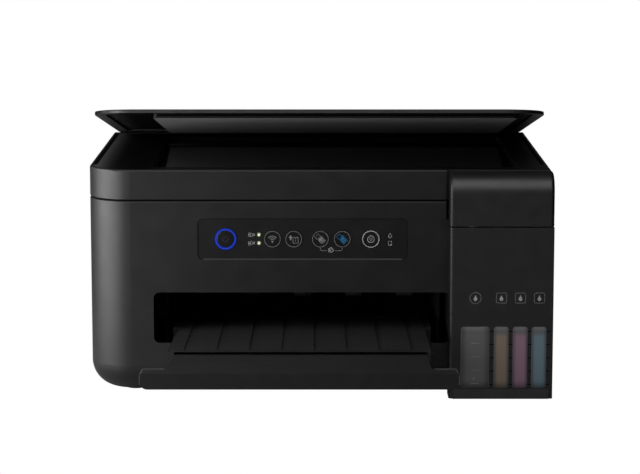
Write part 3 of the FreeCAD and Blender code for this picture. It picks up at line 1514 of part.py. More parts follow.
def ink_tube(x0, x1):
    """One tube in an upright plane: up from its tank, level, and down to the carriage."""
    low = V(x0, TUBE_TANK_Y, INK_TANK_TOP)
    end = V(x1, TUBE_CARRIAGE_Y, CARRIAGE_TOP + RIDGE_HEIGHT)
    level = V(x1 - x0, TUBE_CARRIAGE_Y - TUBE_TANK_Y, 0).normalize()
    r = TUBE_BEND_R
    rise = r * math.sqrt(0.5)
    turn_a = V(x0, TUBE_TANK_Y, TUBE_TOP - r)
    middle_a = turn_a + level * (r - rise) + V(0, 0, rise)
    flat_a = turn_a + level * r + V(0, 0, r)
    turn_b = V(x1, TUBE_CARRIAGE_Y, TUBE_TOP - r)
    middle_b = turn_b - level * (r - rise) + V(0, 0, rise)
    flat_b = turn_b - level * r + V(0, 0, r)
    route = Part.Wire(
        [
            Part.makeLine(low, turn_a),
            Part.Arc(turn_a, middle_a, flat_a).toShape(),
            Part.makeLine(flat_a, flat_b),
            Part.Arc(flat_b, middle_b, turn_b).toShape(),
            Part.makeLine(turn_b, end),
        ]
    )
    ring = Part.Wire([Part.makeCircle(TUBE_R, low, AXIS_Z)])
    return route.makePipeShell([ring], True, True)


def ink_tubes():
    return solids(*[ink_tube(a, b) for a, b in zip(tube_starts(), tube_ends())])


def print_head():
    x = CARRIAGE_HOME + HEAD_OFFSET
    return box(x - HEAD_HALF, x + HEAD_HALF, HEAD_FRONT, HEAD_BACK, HEAD_BOTTOM, CARRIAGE_BOTTOM)


def maintenance_station():
    block = box(STATION_LEFT, STATION_RIGHT, STATION_FRONT, STATION_BACK, BASE_TOP, STATION_TOP)
    top = HEAD_BOTTOM - RUN
    x0 = CARRIAGE_HOME + HEAD_OFFSET - HEAD_HALF + WELL_INSET
    x1 = CARRIAGE_HOME + HEAD_OFFSET + HEAD_HALF - WELL_INSET
    y0 = HEAD_FRONT + WELL_INSET
    y1 = HEAD_BACK - WELL_INSET
    lip = box(x0, x1, y0, y1, STATION_TOP - 1, top)
    low = STATION_TOP - WELL_DEPTH
    well = box(x0 + CAP_LIP, x1 - CAP_LIP, y0 + CAP_LIP, y1 - CAP_LIP, low, BIG)
    return cut(fuse(block, lip), well)


# Rear paper feed, drawn along the sloping chute

CHUTE_RUN = math.hypot(CHUTE_TOP_Y - CHUTE_LOW_Y, CHUTE_TOP_Z - CHUTE_LOW_Z)
CHUTE_ANGLE = math.degrees(math.atan2(CHUTE_TOP_Z - CHUTE_LOW_Z, CHUTE_TOP_Y - CHUTE_LOW_Y))


def along_chute(x0, x1, s0, s1, n0, n1):
    """A box along the chute: s runs up the paper plane, n stands up from it to the front."""
    piece = box(x0, x1, s0, s1, n0, n1)
    piece.rotate(V(0, 0, 0), AXIS_X, CHUTE_ANGLE)
    piece.translate(V(0, CHUTE_LOW_Y, CHUTE_LOW_Z))
    return piece


def chute_point(s, n):
    a = math.radians(CHUTE_ANGLE)
    y = CHUTE_LOW_Y + s * math.cos(a) - n * math.sin(a)
    z = CHUTE_LOW_Z + s * math.sin(a) + n * math.cos(a)
    return y, z


def chute_side(x0, x1):
    top = HOUSING_TOP - DECK_THICK
    outline = [
        (CHUTE_FRONT, BASE_TOP),
        (CHUTE_BACK, BASE_TOP),
        (CHUTE_BACK, top),
        (SLOT_FRONT, top),
        (CHUTE_FRONT, CHUTE_LOW_Z + CHUTE_CHEEK),
    ]
    y, z = chute_point(PICKUP_AT, PICKUP_LIFT)
    hole = rod_x(x0 - 1, x1 + 1, y, z, PICKUP_SHAFT_R + SHAFT_FIT)
    return cut(prism_x(outline, x0, x1), hole)


def rear_paper_chute():
    x0 = PAPER_X - CHUTE_HALF
    x1 = PAPER_X + CHUTE_HALF
    back = along_chute(x0 - 1, x1 + 1, 0, CHUTE_RUN, -CHUTE_THICK, 0)
    return fuse(back, chute_side(x0 - CHUTE_SIDE, x0), chute_side(x1, x1 + CHUTE_SIDE))


def pickup_roller():
    y, z = chute_point(PICKUP_AT, PICKUP_LIFT)
    reach = CHUTE_HALF + CHUTE_SIDE
    shaft = rod_x(PAPER_X - reach, PAPER_X + reach, y, z, PICKUP_SHAFT_R)
    drum = rod_x(PAPER_X - PICKUP_HALF, PAPER_X + PICKUP_HALF, y, z, PICKUP_R)
    return fuse(shaft, drum)


def paper_support():
    x0 = PAPER_X - SUPPORT_HALF
    x1 = PAPER_X + SUPPORT_HALF
    front = -CHUTE_THICK - RUN
    plate = along_chute(x0, x1, CHUTE_RUN - SUPPORT_LENGTH, CHUTE_RUN, front - SUPPORT_THICK, front)
    tab = along_chute(
        PAPER_X - SUPPORT_TAB_HALF,
        PAPER_X + SUPPORT_TAB_HALF,
        CHUTE_RUN - 1,
        CHUTE_RUN + SUPPORT_TAB,
        front - SUPPORT_THICK,
        front,
    )
    return fuse(plate, tab)


def edge_guide(side):
    near = PAPER_X + side * PAPER_HALF
    far = near + side * GUIDE_FIN
    foot = near + side * GUIDE_FIN - side * GUIDE_FOOT
    x0, x1 = sorted((near, far))
    f0, f1 = sorted((foot, far))
    fin = along_chute(x0, x1, GUIDE_FROM, GUIDE_TO, RUN, GUIDE_FIN_HEIGHT)
    base = along_chute(f0, f1, GUIDE_FROM, GUIDE_TO, RUN, RUN + GUIDE_BASE)
    return fuse(fin, base)


def guard_axis_z():
    return HOUSING_TOP - GUARD_BARREL_R


def feeder_guard():
    half = CHUTE_HALF - RUN
    x0 = PAPER_X - half
    x1 = PAPER_X + half
    plate = box(x0, x1, SLOT_FRONT + RUN, GUARD_AXIS_Y, HOUSING_TOP - GUARD_THICK, HOUSING_TOP)
    barrel = rod_x(x0, x1, GUARD_AXIS_Y, guard_axis_z(), GUARD_BARREL_R)
    reach = CHUTE_HALF + SEAT + GUARD_PIN
    pin = rod_x(PAPER_X - reach, PAPER_X + reach, GUARD_AXIS_Y, guard_axis_z(), GUARD_PIN_R)
    return fuse(plate, barrel, pin)


# Electrics


def power_supply():
    return box(PSU_LEFT, PSU_RIGHT, PSU_FRONT, PSU_BACK, BASE_TOP, BASE_TOP + PSU_HEIGHT)


def inlet_shell(grow):
    w = INLET_WIDTH / 2 + INLET_WALL + grow
    h = INLET_HEIGHT / 2 + INLET_WALL + grow
    return slab_y(
        INLET_X - w,
        INLET_X + w,
        INLET_Z - h,
        INLET_Z + h,
        INLET_R,
        PSU_BACK,
        BODY_DEPTH + grow,
    )


def power_inlet():
    w = INLET_WIDTH / 2
    h = INLET_HEIGHT / 2
    deep = BODY_DEPTH - INLET_DEPTH
    socket = slab_y(INLET_X - w, INLET_X + w, INLET_Z - h, INLET_Z + h, INLET_R - INLET_WALL, deep, BIG)
    tip = BODY_DEPTH - INLET_PIN_SHY
    pins = [rod_y(deep - 1, tip, INLET_X + s * INLET_PIN_X, INLET_Z, INLET_PIN_R) for s in (-1, 1)]
    return fuse(cut(inlet_shell(0.0), socket), *pins)


def usb_block(grow):
    z = BASE_TOP + STANDOFF + BOARD_THICK
    half = USB_WIDTH / 2 + grow
    back = BODY_DEPTH + grow
    return box(USB_X - half, USB_X + half, BODY_DEPTH - USB_DEPTH, back, z - grow, z + USB_HEIGHT + grow)


def main_board():
    z = BASE_TOP + STANDOFF
    board = box(BOARD_LEFT, BOARD_RIGHT, BOARD_FRONT, BOARD_BACK, z, z + BOARD_THICK)
    w = USB_WIDTH / 2 - USB_SKIN
    low = z + BOARD_THICK + USB_SKIN
    high = z + BOARD_THICK + USB_HEIGHT - USB_SKIN
    floor = BODY_DEPTH - USB_DEPTH + USB_FLOOR
    hollow = box(USB_X - w, USB_X + w, floor, BIG, low, high)
    middle = (low + high - USB_TONGUE) / 2
    tip = BODY_DEPTH - USB_TONGUE_SHY
    tongue = box(USB_X - w / 2, USB_X + w / 2, floor - 1, tip, middle, middle + USB_TONGUE)
    return solids(board, fuse(cut(usb_block(0.0), hollow), tongue))


PIECES = {
    "main_housing": main_housing(),
    "base_plate": base_plate(),
    "rubber_feet": rubber_feet(),
    "control_panel": control_panel(),
    "control_board": control_board(),
    "power_light_ring": power_light_ring(),
    "indicator_lenses": indicator_lenses(),
    "power_button": button(POWER_X, POWER_BUTTON_R, power_seat()),
    "tank_housing": tank_housing(),
    "tank_cover": tank_cover(),
    "scanner_tub": scanner_tub(),
    "scanner_frame": scanner_frame(),
    "scanner_glass": scanner_glass(),
    "scan_sensor_bar": scan_sensor_bar(),
    "scanner_hinge_pins": scanner_hinge_pins(),
    "lid_hinge_pins": lid_hinge_pins(),
    "document_cover": document_cover(),
    "document_mat": document_mat(),
    "output_tray": output_tray(),
    "tray_extension": tray_extension(),
    "platen": platen(),
    "feed_roller": feed_roller(),
    "exit_roller": exit_roller(),
    "idler_gear": idler_gear(),
    "motor_pinion": motor_pinion(),
    "star_wheels": star_wheels(),
    "pinch_rollers": pinch_rollers(),
    "ink_tubes": ink_tubes(),
    "feed_motor": feed_motor(),
    "chassis_frame": chassis_frame(),
    "drive_pulley": pulley(DRIVE_X),
    "idler_pulley": pulley(IDLER_X),
    "carriage_belt": carriage_belt(),
    "carriage_motor": carriage_motor(),
    "encoder_strip": encoder_strip(),
    "print_carriage": print_carriage(),
    "print_head": print_head(),
    "maintenance_station": maintenance_station(),
    "rear_paper_chute": rear_paper_chute(),
    "pickup_roller": pickup_roller(),
    "paper_support": paper_support(),
    "edge_guide_left": edge_guide(-1),
    "edge_guide_right": edge_guide(1),
    "feeder_guard": feeder_guard(),
    "power_supply": power_supply(),
    "power_inlet": power_inlet(),
    "main_board": main_board(),
}
for colour in WINDOWS:
    PIECES["ink_tank_" + colour] = ink_tank(colour)
    PIECES["ink_cap_" + colour] = ink_cap(colour)
for label, (place, radius) in BUTTONS.items():
    PIECES[label] = button(place, radius, PANEL_BACK)

os.makedirs("parts", exist_ok=True)
MIDDLE = V(0, (TRAY_REACH - BODY_DEPTH) / 2, 0)
for label, piece in PIECES.items():
    piece.translate(MIDDLE)
    piece.exportStep("parts/" + label + ".step")
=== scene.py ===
"""Looks of the ink-tank inkjet printer: materials, printed marks, thin trim, light and camera.

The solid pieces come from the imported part. Places below are in millimetres in the bench frame of
the part, with Y counted from the body's front face, and are moved into the frame by at().
"""

import math

import bmesh
import bpy
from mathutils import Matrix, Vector


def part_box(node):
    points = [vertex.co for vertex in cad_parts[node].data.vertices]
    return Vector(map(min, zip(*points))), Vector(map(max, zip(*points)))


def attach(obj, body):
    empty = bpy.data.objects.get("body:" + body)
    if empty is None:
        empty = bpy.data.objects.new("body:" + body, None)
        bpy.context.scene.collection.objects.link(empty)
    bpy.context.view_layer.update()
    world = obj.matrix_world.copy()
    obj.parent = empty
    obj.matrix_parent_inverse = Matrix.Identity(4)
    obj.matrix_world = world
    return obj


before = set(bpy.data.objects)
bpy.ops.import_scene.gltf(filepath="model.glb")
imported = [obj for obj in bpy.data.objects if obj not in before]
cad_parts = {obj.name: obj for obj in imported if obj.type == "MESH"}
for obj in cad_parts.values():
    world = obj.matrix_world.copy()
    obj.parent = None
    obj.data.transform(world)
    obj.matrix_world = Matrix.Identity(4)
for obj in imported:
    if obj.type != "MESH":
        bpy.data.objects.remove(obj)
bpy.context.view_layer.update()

# Frame
MM = 0.001
FRONT_FACE_Y = -45.0
BODY = "printer_body"

# Camera
CAMERA_AT = (0.5, -1912.0, 432.7)
CAMERA_PITCH = 81.03
CAMERA_LENS = 135.0
CAMERA_REACH = 50.0
SENSOR_WIDTH = 36.0

# Soft boxes: places and sizes in the frame's metres, power in watts
SOFT_BOXES = {
    "front_box": {
        "place": (0.0, -1.25, 1.45),
        "aim": (0.0, -0.05, 0.12),
        "width": 1.3,
        "height": 1.5,
        "power": 12.5,
    },
    "left_box": {
        "place": (-0.60, -0.23, 0.21),
        "aim": (-0.1, -0.07, 0.12),
        "width": 0.60,
        "height": 0.60,
        "power": 9.4,
    },
}
ROOM_LIGHT = 0.03

# Floor, in metres
FLOOR_HALF = 6.0
FLOOR_GREYS = (0.30, 0.33)
FLOOR_GRAIN = 2.0
FLOOR_ROUGH = 0.9

# Body: left side, and rounding of its upright front corner
BODY_LEFT = -187.5
BODY_ROUND = 35.0

# Recess of the control panel in the front face
PANEL_X = (-98.4, 71.3)
PANEL_LOW = 112.2
PANEL_ROUND = 4.5
PANEL_SLOPE = 1.0

# Lamps and power light on the control panel
LENS_Z = (132.5, 125.7)
LENS_R = 1.45
LENS_EDGE = 0.5
LIGHT_R = (7.0, 8.72)
LIGHT_EDGE = 0.5
LIGHT_HALO = 0.6

# Document cover, as it stands ajar: Y and Z from its hinge axis, before it is tilted
LID_TILT = 9.7
LID_LIP_X = (130.0, 182.2)
LID_LIP_Y = (1.5, 3.8)
LID_LIP_Z = (0.0, 1.4)
MAT_FRONT_Z = (-2.0, 1.3)
MAT_ROUND = 3.0
# Height of the painted shadow along the mat's upper front edge
MAT_SHADOW = 1.7

# Painted shadow along the bed, from its left and right edges
BED_SHADOW_X = (1.4, 5.8)
BED_SHADOW_Y = (36.0, 266.0)
BED_SHADOW_HALF = 0.05

# Painted shadow: a black strip in the seam under the scanner
SEAM_Z = (159.93, 161.36)
SEAM_INSET = 1.3
SEAM_WIDTH = 1.0
SEAM_RIGHT = 106.5
SEAM_BACK = 120.0
SEAM_STEPS = 12

# Painted highlights on the ends of the tray's front bar: across, back and up from its upper front corner
TRAY_SLOPE = 3.2
BAR_HEIGHT = 11.5
BAR_HIGHLIGHTS = (
    ((0.0, 0.45), (-0.08, 0.3), (-8.0, -1.2)),
    ((0.9, 1.3), (0.0, 20.9), (-0.2, 0.08)),
    ((1.2, 17.0), (20.3, 20.9), (-0.2, 0.45)),
)

# Foot of the tank housing
PLINTH_X = (107.2, 184.3)
PLINTH_Z = (2.6, 10.6)
PLINTH_PROUD = 1.5
PLINTH_SEAT = 0.3
PLINTH_TOE = 0.8

# Windows of the ink tanks, the gaps between them where the level grooves show, and the black tank's ticks
WINDOW_Z = (11.5, 61.3)
WINDOW_LEFT = 113.7
WINDOW_ROUND = 2.2
WINDOW_LAP = 1.2
WINDOW_CLEAR = 0.45
LEVEL_LINES = (14.2, 25.1, 36.0, 46.9, 57.7)
LEVEL_SHADE = 0.65
LEVEL_GAPS = ((136.4, 140.2), (151.9, 155.3), (167.0, 170.4), (182.1, 185.0))
RIM_HIGHLIGHT_WIDTH = 0.35
TICK_X = 125.0
TICK_Z = (48.0, 37.0, 26.0, 15.0)
TICK_HALF = 3.2
TICK_LINE = 0.6
TICK_DROP = (124.0, 19.0, 0.8)

# Tank labels: a round frame for black and square ones for the colours
LABEL_Z = 84.9
LABEL_ROUND = (125.0, 4.5)
LABEL_SQUARES = (("yellow", 145.8), ("magenta", 161.0), ("cyan", 176.2))
LABEL_HALF = 4.1
LABEL_CORNER = 1.1
LABEL_DROP = 1.5
LABEL_DROP_SINK = 0.9

# Lines and curves of the printed marks
INK_LIFT = 0.03
INK_THICK = 0.05
WELD = 1e-7
LINE = 0.5
FINE_LINE = 0.38
ARC_STEPS = 28
RING_STEPS = 48
SMALL_STEPS = 16
CORNER_STEPS = 6
DROP_POINT = 2.1
DROP_ARC = (150, 390)


def at(x, y, z):
    return (x * MM, (y + FRONT_FACE_Y) * MM, z * MM)


def front_of(node):
    """Front of a CAD node, in bench millimetres."""
    low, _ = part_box(node)
    return low[1] / MM - FRONT_FACE_Y


def node_centre(node):
    """Middle of a CAD node and its front, in bench millimetres: x, front y, z."""
    low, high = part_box(node)
    x = (low[0] + high[0]) / 2 / MM
    z = (low[2] + high[2]) / 2 / MM
    return x, front_of(node), z


def new_object(name, data):
    thing = bpy.data.objects.new(name, data)
    bpy.context.scene.collection.objects.link(thing)
    return thing


# Nodes that the materials are made of


def new_material(name):
    material = bpy.data.materials.new(name)
    material.use_nodes = True
    tree = material.node_tree
    return material, tree, tree.nodes["Principled BSDF"]


def coordinate(tree, kind, axis):
    """One axis of the place or of the direction of the surface."""
    place = tree.nodes.new("ShaderNodeTexCoord")
    split = tree.nodes.new("ShaderNodeSeparateXYZ")
    tree.links.new(place.outputs[kind], split.inputs["Vector"])
    return split.outputs[axis]


def worked(tree, operation, value, other=0.0):
    """The value after one step of arithmetic."""
    node = tree.nodes.new("ShaderNodeMath")
    node.operation = operation
    node.inputs[1].default_value = other
    tree.links.new(value, node.inputs[0])
    return node.outputs[0]


def scaled(tree, value, low, high, start=0.0, end=1.0, curve="LINEAR"):
    """The range from low to high turned into the range from start to end."""
    node = tree.nodes.new("ShaderNodeMapRange")
    node.interpolation_type = curve
    node.inputs["From Min"].default_value = low
    node.inputs["From Max"].default_value = high
    node.inputs["To Min"].default_value = start
    node.inputs["To Max"].default_value = end
    tree.links.new(value, node.inputs["Value"])
    return node.outputs["Result"]


def mixed(tree, factor, first, second):
    """The first colour where the factor is 0 and the second where it is 1."""
    node = tree.nodes.new("ShaderNodeMix")
    node.data_type = "RGBA"
    tree.links.new(factor, node.inputs["Factor"])
    tree.links.new(first, node.inputs["A"])
    tree.links.new(second, node.inputs["B"])
    return node.outputs["Result"]


def ramp(tree, factor, stops):
    node = tree.nodes.new("ShaderNodeValToRGB")
    elements = node.color_ramp.elements
    while len(elements) < len(stops):
        elements.new(0.5)
    for element, (place, colour) in zip(elements, stops):
        element.position = place
        element.color = (*colour, 1.0)
    tree.links.new(factor, node.inputs["Fac"])
    return node.outputs["Color"]


def shade(colour, change):
    return tuple(max(0.0, c * change) for c in colour)


# Noise: the part of its range that is used, and its usual layers of detail
NOISE_ENDS = (0.3, 0.7)
NARROW_ENDS = (0.35, 0.65)
GRAIN_DETAIL = 3.0


def grain(tree, scale, detail=GRAIN_DETAIL):
    """Noise in the object's own metres."""
    place = tree.nodes.new("ShaderNodeTexCoord")
    noise = tree.nodes.new("ShaderNodeTexNoise")
    noise.inputs["Scale"].default_value = scale
    noise.inputs["Detail"].default_value = detail
    tree.links.new(place.outputs["Object"], noise.inputs["Vector"])
    return noise.outputs["Fac"]


def speckle(tree, noise, colour, tones, ends=NOISE_ENDS):
    """The colour broken up by noise into a darker and a lighter tone of it."""
    return ramp(tree, noise, [(place, shade(colour, tone)) for place, tone in zip(ends, tones)])


def uneven(tree, socket, scale, low, high):
    """Noise between low and high on a socket of the shader."""
    tree.links.new(scaled(tree, grain(tree, scale), *NOISE_ENDS, low, high), socket)


def emboss(tree, shader, noise, strength, depth):
    node = tree.nodes.new("ShaderNodeBump")
    node.inputs["Strength"].default_value = strength
    node.inputs["Distance"].default_value = depth
    tree.links.new(noise, node.inputs["Height"])
    tree.links.new(node.outputs["Normal"], shader.inputs["Normal"])


# Looks that go by the surface's direction: its share along an axis where the change starts and ends
SIDE_LOOK = (0.2, 0.7)
FRONT_LOOK = (0.80, 0.97)
FLAT_LOOK = (0.5, 0.9)
DOWN_LOOK = (-0.5, -0.9)


def facing(tree, axis, low, high):
    """0 where the surface looks less than low along the axis and 1 where it looks more than high."""
    return scaled(tree, worked(tree, "ABSOLUTE", coordinate(tree, "Normal", axis)), low, high)


def looking_down(tree):
    """1 on undersides and 0 on all other faces."""
    return scaled(tree, coordinate(tree, "Normal", "Z"), *DOWN_LOOK)


def by_height(tree, low, high):
    """0 at the height low and 1 at high, both in millimetres."""
    return scaled(tree, coordinate(tree, "Object", "Z"), low * MM, high * MM)


def across(tree, centre, half):
    """0 over the middle of a window and 1 at its sides, both in millimetres."""
    shift = worked(tree, "SUBTRACT", coordinate(tree, "Object", "X"), centre * MM)
    size = worked(tree, "ABSOLUTE", shift)
    return scaled(tree, size, WINDOW_CLEAR * half * MM, half * MM, curve="SMOOTHSTEP")


# Blue in the greys, as a share of their red and green
COOL = 1.04


def painted_light_by_x(tree, stops):
    """Painted light and shade: greys that change from the left end of the body to the right: x in
    millimetres and tone.
    """
    place = scaled(tree, coordinate(tree, "Object", "X"), BODY_LEFT * MM, -BODY_LEFT * MM)
    width = -2 * BODY_LEFT
    return ramp(tree, place, [((x - BODY_LEFT) / width, (tone, tone, tone * COOL)) for x, tone in stops])


def shine(tree, shader, factor, low, high):
    """Shine that goes from low to high with the factor."""
    tree.links.new(scaled(tree, factor, 0.0, 1.0, low, high), shader.inputs["Specular IOR Level"])


# Moulded plastic: scales of its noise per metre, its tones and shine, and its skin
PLASTIC_GRAIN = 90.0
PLASTIC_TONES = (0.88, 1.12)
PLASTIC_SHINE = 0.35
ROUGH_GRAIN = 60.0
ROUGH_CHANGE = 0.04
SKIN_GRAIN = 2600.0
SKIN_DETAIL = 1.0
SKIN_DEPTH = 0.00012
SKIN = 0.12
FINE_SKIN = 0.05
COARSE_SKIN = 0.3


def plastic_tone(tree, colour):
    return speckle(tree, grain(tree, PLASTIC_GRAIN), colour, PLASTIC_TONES)


def moulded(tree, shader, tone, rough, skin=SKIN):
    """Colour, roughness and spark-eroded skin of moulded plastic."""
    tree.links.new(tone, shader.inputs["Base Color"])
    uneven(tree, shader.inputs["Roughness"], ROUGH_GRAIN, rough - ROUGH_CHANGE, rough + ROUGH_CHANGE)
    emboss(tree, shader, grain(tree, SKIN_GRAIN, SKIN_DETAIL), skin, SKIN_DEPTH)


def plastic(name, colour, rough, specular=PLASTIC_SHINE, skin=SKIN):
    """Moulded plastic in one colour."""
    material, tree, shader = new_material(name)
    moulded(tree, shader, plastic_tone(tree, colour), rough, skin)
    shader.inputs["Specular IOR Level"].default_value = specular
    return material


def shell_plastic(name, colour, rough, front_shine, side_shine):
    """Moulded plastic with less shine on its left and right sides than on its front and top."""
    material, tree, shader = new_material(name)
    moulded(tree, shader, plastic_tone(tree, colour), rough)
    shine(tree, shader, facing(tree, "X", *SIDE_LOOK), front_shine, side_shine)
    return material


def bed_plastic(name, tones, rough, specular):
    """Moulded plastic with painted light that grows towards its left and right edges."""
    material, tree, shader = new_material(name)
    moulded(tree, shader, painted_light_by_x(tree, tones), rough)
    shader.inputs["Specular IOR Level"].default_value = specular
    return material


def lid_plastic(name, top, below, edge, rough, flat_shine, edge_shine):
    """Moulded plastic with a shinier front edge made paler by a painted highlight, and an underside that
    pales towards both ends with painted light.
    """
    material, tree, shader = new_material(name)
    flat = mixed(tree, looking_down(tree), plastic_tone(tree, top), painted_light_by_x(tree, below))
    ahead = facing(tree, "Y", *FRONT_LOOK)
    moulded(tree, shader, mixed(tree, ahead, flat, plastic_tone(tree, edge)), rough)
    shine(tree, shader, ahead, flat_shine, edge_shine)
    return material


METAL_GRAIN = 240.0
METAL_DETAIL = 5.0
METAL_TONES = (0.85, 1.1)
METAL_ROUGH_GRAIN = 420.0
METAL_ROUGH = (-0.06, 0.08)


def metal(name, colour, rough):
    """Rolled or turned metal with an uneven polish."""
    material, tree, shader = new_material(name)
    tone = speckle(tree, grain(tree, METAL_GRAIN, METAL_DETAIL), colour, METAL_TONES)
    tree.links.new(tone, shader.inputs["Base Color"])
    low, high = METAL_ROUGH
    uneven(tree, shader.inputs["Roughness"], METAL_ROUGH_GRAIN, rough + low, rough + high)
    shader.inputs["Metallic"].default_value = 1.0
    return material


GLOW_GRAIN = 300.0
GLOW_TONES = (0.9, 1.05)
GLOW_ROUGH = 0.3


def glow(name, colour, strength, base):
    """A lit lens: its own colour with a slight unevenness."""
    material, tree, shader = new_material(name)
    tone = speckle(tree, grain(tree, GLOW_GRAIN), colour, GLOW_TONES)
    tree.links.new(tone, shader.inputs["Emission Color"])
    shader.inputs["Emission Strength"].default_value = strength
    shader.inputs["Base Color"].default_value = (*base, 1.0)
    shader.inputs["Roughness"].default_value = GLOW_ROUGH
    return material


INK_GRAIN = 700.0
INK_TONES = (0.93, 1.05)
INK_ROUGH = 0.6
INK_SHINE = 0.2


def print_ink(name, colour):
    """A screen-printed layer."""
    material, tree, shader = new_material(name)
    tone = speckle(tree, grain(tree, INK_GRAIN), colour, INK_TONES)
    tree.links.new(tone, shader.inputs["Base Color"])
    shader.inputs["Roughness"].default_value = INK_ROUGH
    shader.inputs["Specular IOR Level"].default_value = INK_SHINE
    return material


GLASS_GRAIN = 20.0
GLASS_TONES = (0.9, 1.1)
GLASS_ROUGH = 0.06
GLASS_SHINE = 0.5


def clear_glass(name, tint):
    """Scanner glass: it mirrors what is above and shows dark below."""
    material, tree, shader = new_material(name)
    tone = speckle(tree, grain(tree, GLASS_GRAIN), tint, GLASS_TONES)
    tree.links.new(tone, shader.inputs["Base Color"])
    shader.inputs["Roughness"].default_value = GLASS_ROUGH
    shader.inputs["Specular IOR Level"].default_value = GLASS_SHINE
    return material


FOAM_SKIN_GRAIN = 500.0
FOAM_SKIN_DETAIL = 4.0
FOAM_SKIN_TONES = (0.92, 1.08)
FOAM_SIDE_GRAIN = 900.0
FOAM_SIDE_TONES = (0.8, 1.2)
FOAM_ROUGH = 0.55
FOAM_SHINE = (0.04, 0.3)
FOAM_PORES = 1800.0
FOAM_PORE_STRENGTH = 0.15
FOAM_PORE_DEPTH = 0.0002


def foam(name, skin, side):
    """Dense foam with a pale smooth skin on its flat faces and dark painted shade on its sides."""
    material, tree, shader = new_material(name)
    pale = speckle(tree, grain(tree, FOAM_SKIN_GRAIN, FOAM_SKIN_DETAIL), skin, FOAM_SKIN_TONES, NARROW_ENDS)
    dark = speckle(tree, grain(tree, FOAM_SIDE_GRAIN), side, FOAM_SIDE_TONES, NARROW_ENDS)
    flat = facing(tree, "Z", *FLAT_LOOK)
    tree.links.new(mixed(tree, flat, dark, pale), shader.inputs["Base Color"])
    shader.inputs["Roughness"].default_value = FOAM_ROUGH
    shine(tree, shader, flat, *FOAM_SHINE)
    emboss(tree, shader, grain(tree, FOAM_PORES), FOAM_PORE_STRENGTH, FOAM_PORE_DEPTH)
    return material


# Ink tanks: tones by share of the window's height, up to the ink's level and above it
INK_STOPS = ((0.0, 0.35), (0.05, 0.62), (0.10, 0.92), (0.16, 1.0), (0.84, 1.0))
EMPTY_STOPS = ((0.92, 0.86), (0.97, 1.15))
TANK_MILK = (0.130, 0.130, 0.134)
TANK_GRAIN = 80.0
TANK_ROUGH = (0.30, 0.38)
TANK_SHINE = 0.3


def tank_plastic(node, ink, wall):
    """Milky tank: ink shows through the middle of the window, the wall at its sides and top."""
    low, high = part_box(node)
    material, tree, shader = new_material(node + "_plastic")
    height = by_height(tree, *WINDOW_Z)
    filled = [(place, shade(ink, tone)) for place, tone in INK_STOPS]
    empty = [(place, shade(TANK_MILK, tone)) for place, tone in EMPTY_STOPS]
    middle = ramp(tree, height, filled + empty)
    sides = ramp(tree, height, [(place, shade(wall, tone)) for place, tone in INK_STOPS + EMPTY_STOPS])
    x = (low[0] + high[0]) / 2 / MM
    half = (high[0] - low[0]) / 2 / MM - WINDOW_LAP
    tree.links.new(mixed(tree, across(tree, x, half), middle, sides), shader.inputs["Base Color"])
    uneven(tree, shader.inputs["Roughness"], TANK_GRAIN, *TANK_ROUGH)
    shader.inputs["Specular IOR Level"].default_value = TANK_SHINE
    return material


# Colours of the materials. Painted light on the bed and on the lid's underside goes by x in millimetres
BLACK = (0.0042, 0.0042, 0.0043)
TANK_BLACK = (0.0032, 0.0032, 0.0046)
# Painted highlight: the paler colour of the lid's front edge
LID_EDGE_HIGHLIGHT = (0.025, 0.025, 0.0256)
BED_PAINTED_LIGHT = (
    (-182, 0.070), (-176, 0.032), (-171, 0.0105), (-165, 0.0015),
    (-150, 0.0004), (150, 0.0010), (170, 0.0070), (184, 0.0150),
)
LID_PAINTED_LIGHT = (
    (-182, 0.075), (-172, 0.042), (-165, 0.017), (-156, 0.0040),
    (150, 0.0040), (160, 0.022), (172, 0.100), (182, 0.230),
)

HOUSING = plastic("housing_plastic", BLACK, rough=0.50, specular=0.45)
BED = bed_plastic("bed_plastic", BED_PAINTED_LIGHT, rough=0.50, specular=0.08)
LID = lid_plastic("lid_plastic", BLACK, LID_PAINTED_LIGHT, LID_EDGE_HIGHLIGHT, rough=0.40, flat_shine=0.10, edge_shine=0.35)
PANEL = plastic("panel_plastic", (0.0038, 0.0038, 0.004), rough=0.40, specular=0.5, skin=FINE_SKIN)
KEY = plastic("key_plastic", (0.0040, 0.0040, 0.0042), rough=0.38, specular=0.4, skin=FINE_SKIN)
TANK_SHELL = shell_plastic("tank_plastic_shell", TANK_BLACK, rough=0.45, front_shine=0.78, side_shine=0.12)
TRAY = plastic("tray_plastic", (0.0130, 0.0130, 0.0131), rough=0.45)
INNER = plastic("inner_plastic", (0.012, 0.012, 0.0125), rough=0.5)
GREY_INNER = plastic("grey_plastic", (0.16, 0.16, 0.165), rough=0.45)
WHITE_GEAR = plastic("gear_plastic", (0.55, 0.54, 0.50), rough=0.4)
RUBBER = plastic("rubber", (0.016, 0.016, 0.016), rough=0.8, specular=0.2, skin=COARSE_SKIN)
ROLLER_RUBBER = plastic("roller_rubber", (0.05, 0.05, 0.052), rough=0.75, specular=0.2, skin=COARSE_SKIN)
STEEL = metal("steel", (0.56, 0.57, 0.58), rough=0.32)
SHEET_STEEL = metal("sheet_steel", (0.50, 0.51, 0.52), rough=0.4)
BOARD = plastic("circuit_board", (0.02, 0.09, 0.035), rough=0.4)
MAT = foam("mat_foam", skin=(0.28, 0.28, 0.28), side=(0.022, 0.022, 0.022))
GLASS = clear_glass("scanner_glass", (0.004, 0.004, 0.0042))
TUBE = plastic("tube_plastic", (0.42, 0.42, 0.40), rough=0.3, specular=0.5)
BLUE_LIGHT = glow("power_light", (0.02, 0.085, 0.85), strength=0.36, base=(0.01, 0.03, 0.2))
LENS_LIGHT = glow("lens_light", (0.90, 1.0, 0.70), strength=0.75, base=(0.3, 0.3, 0.25))
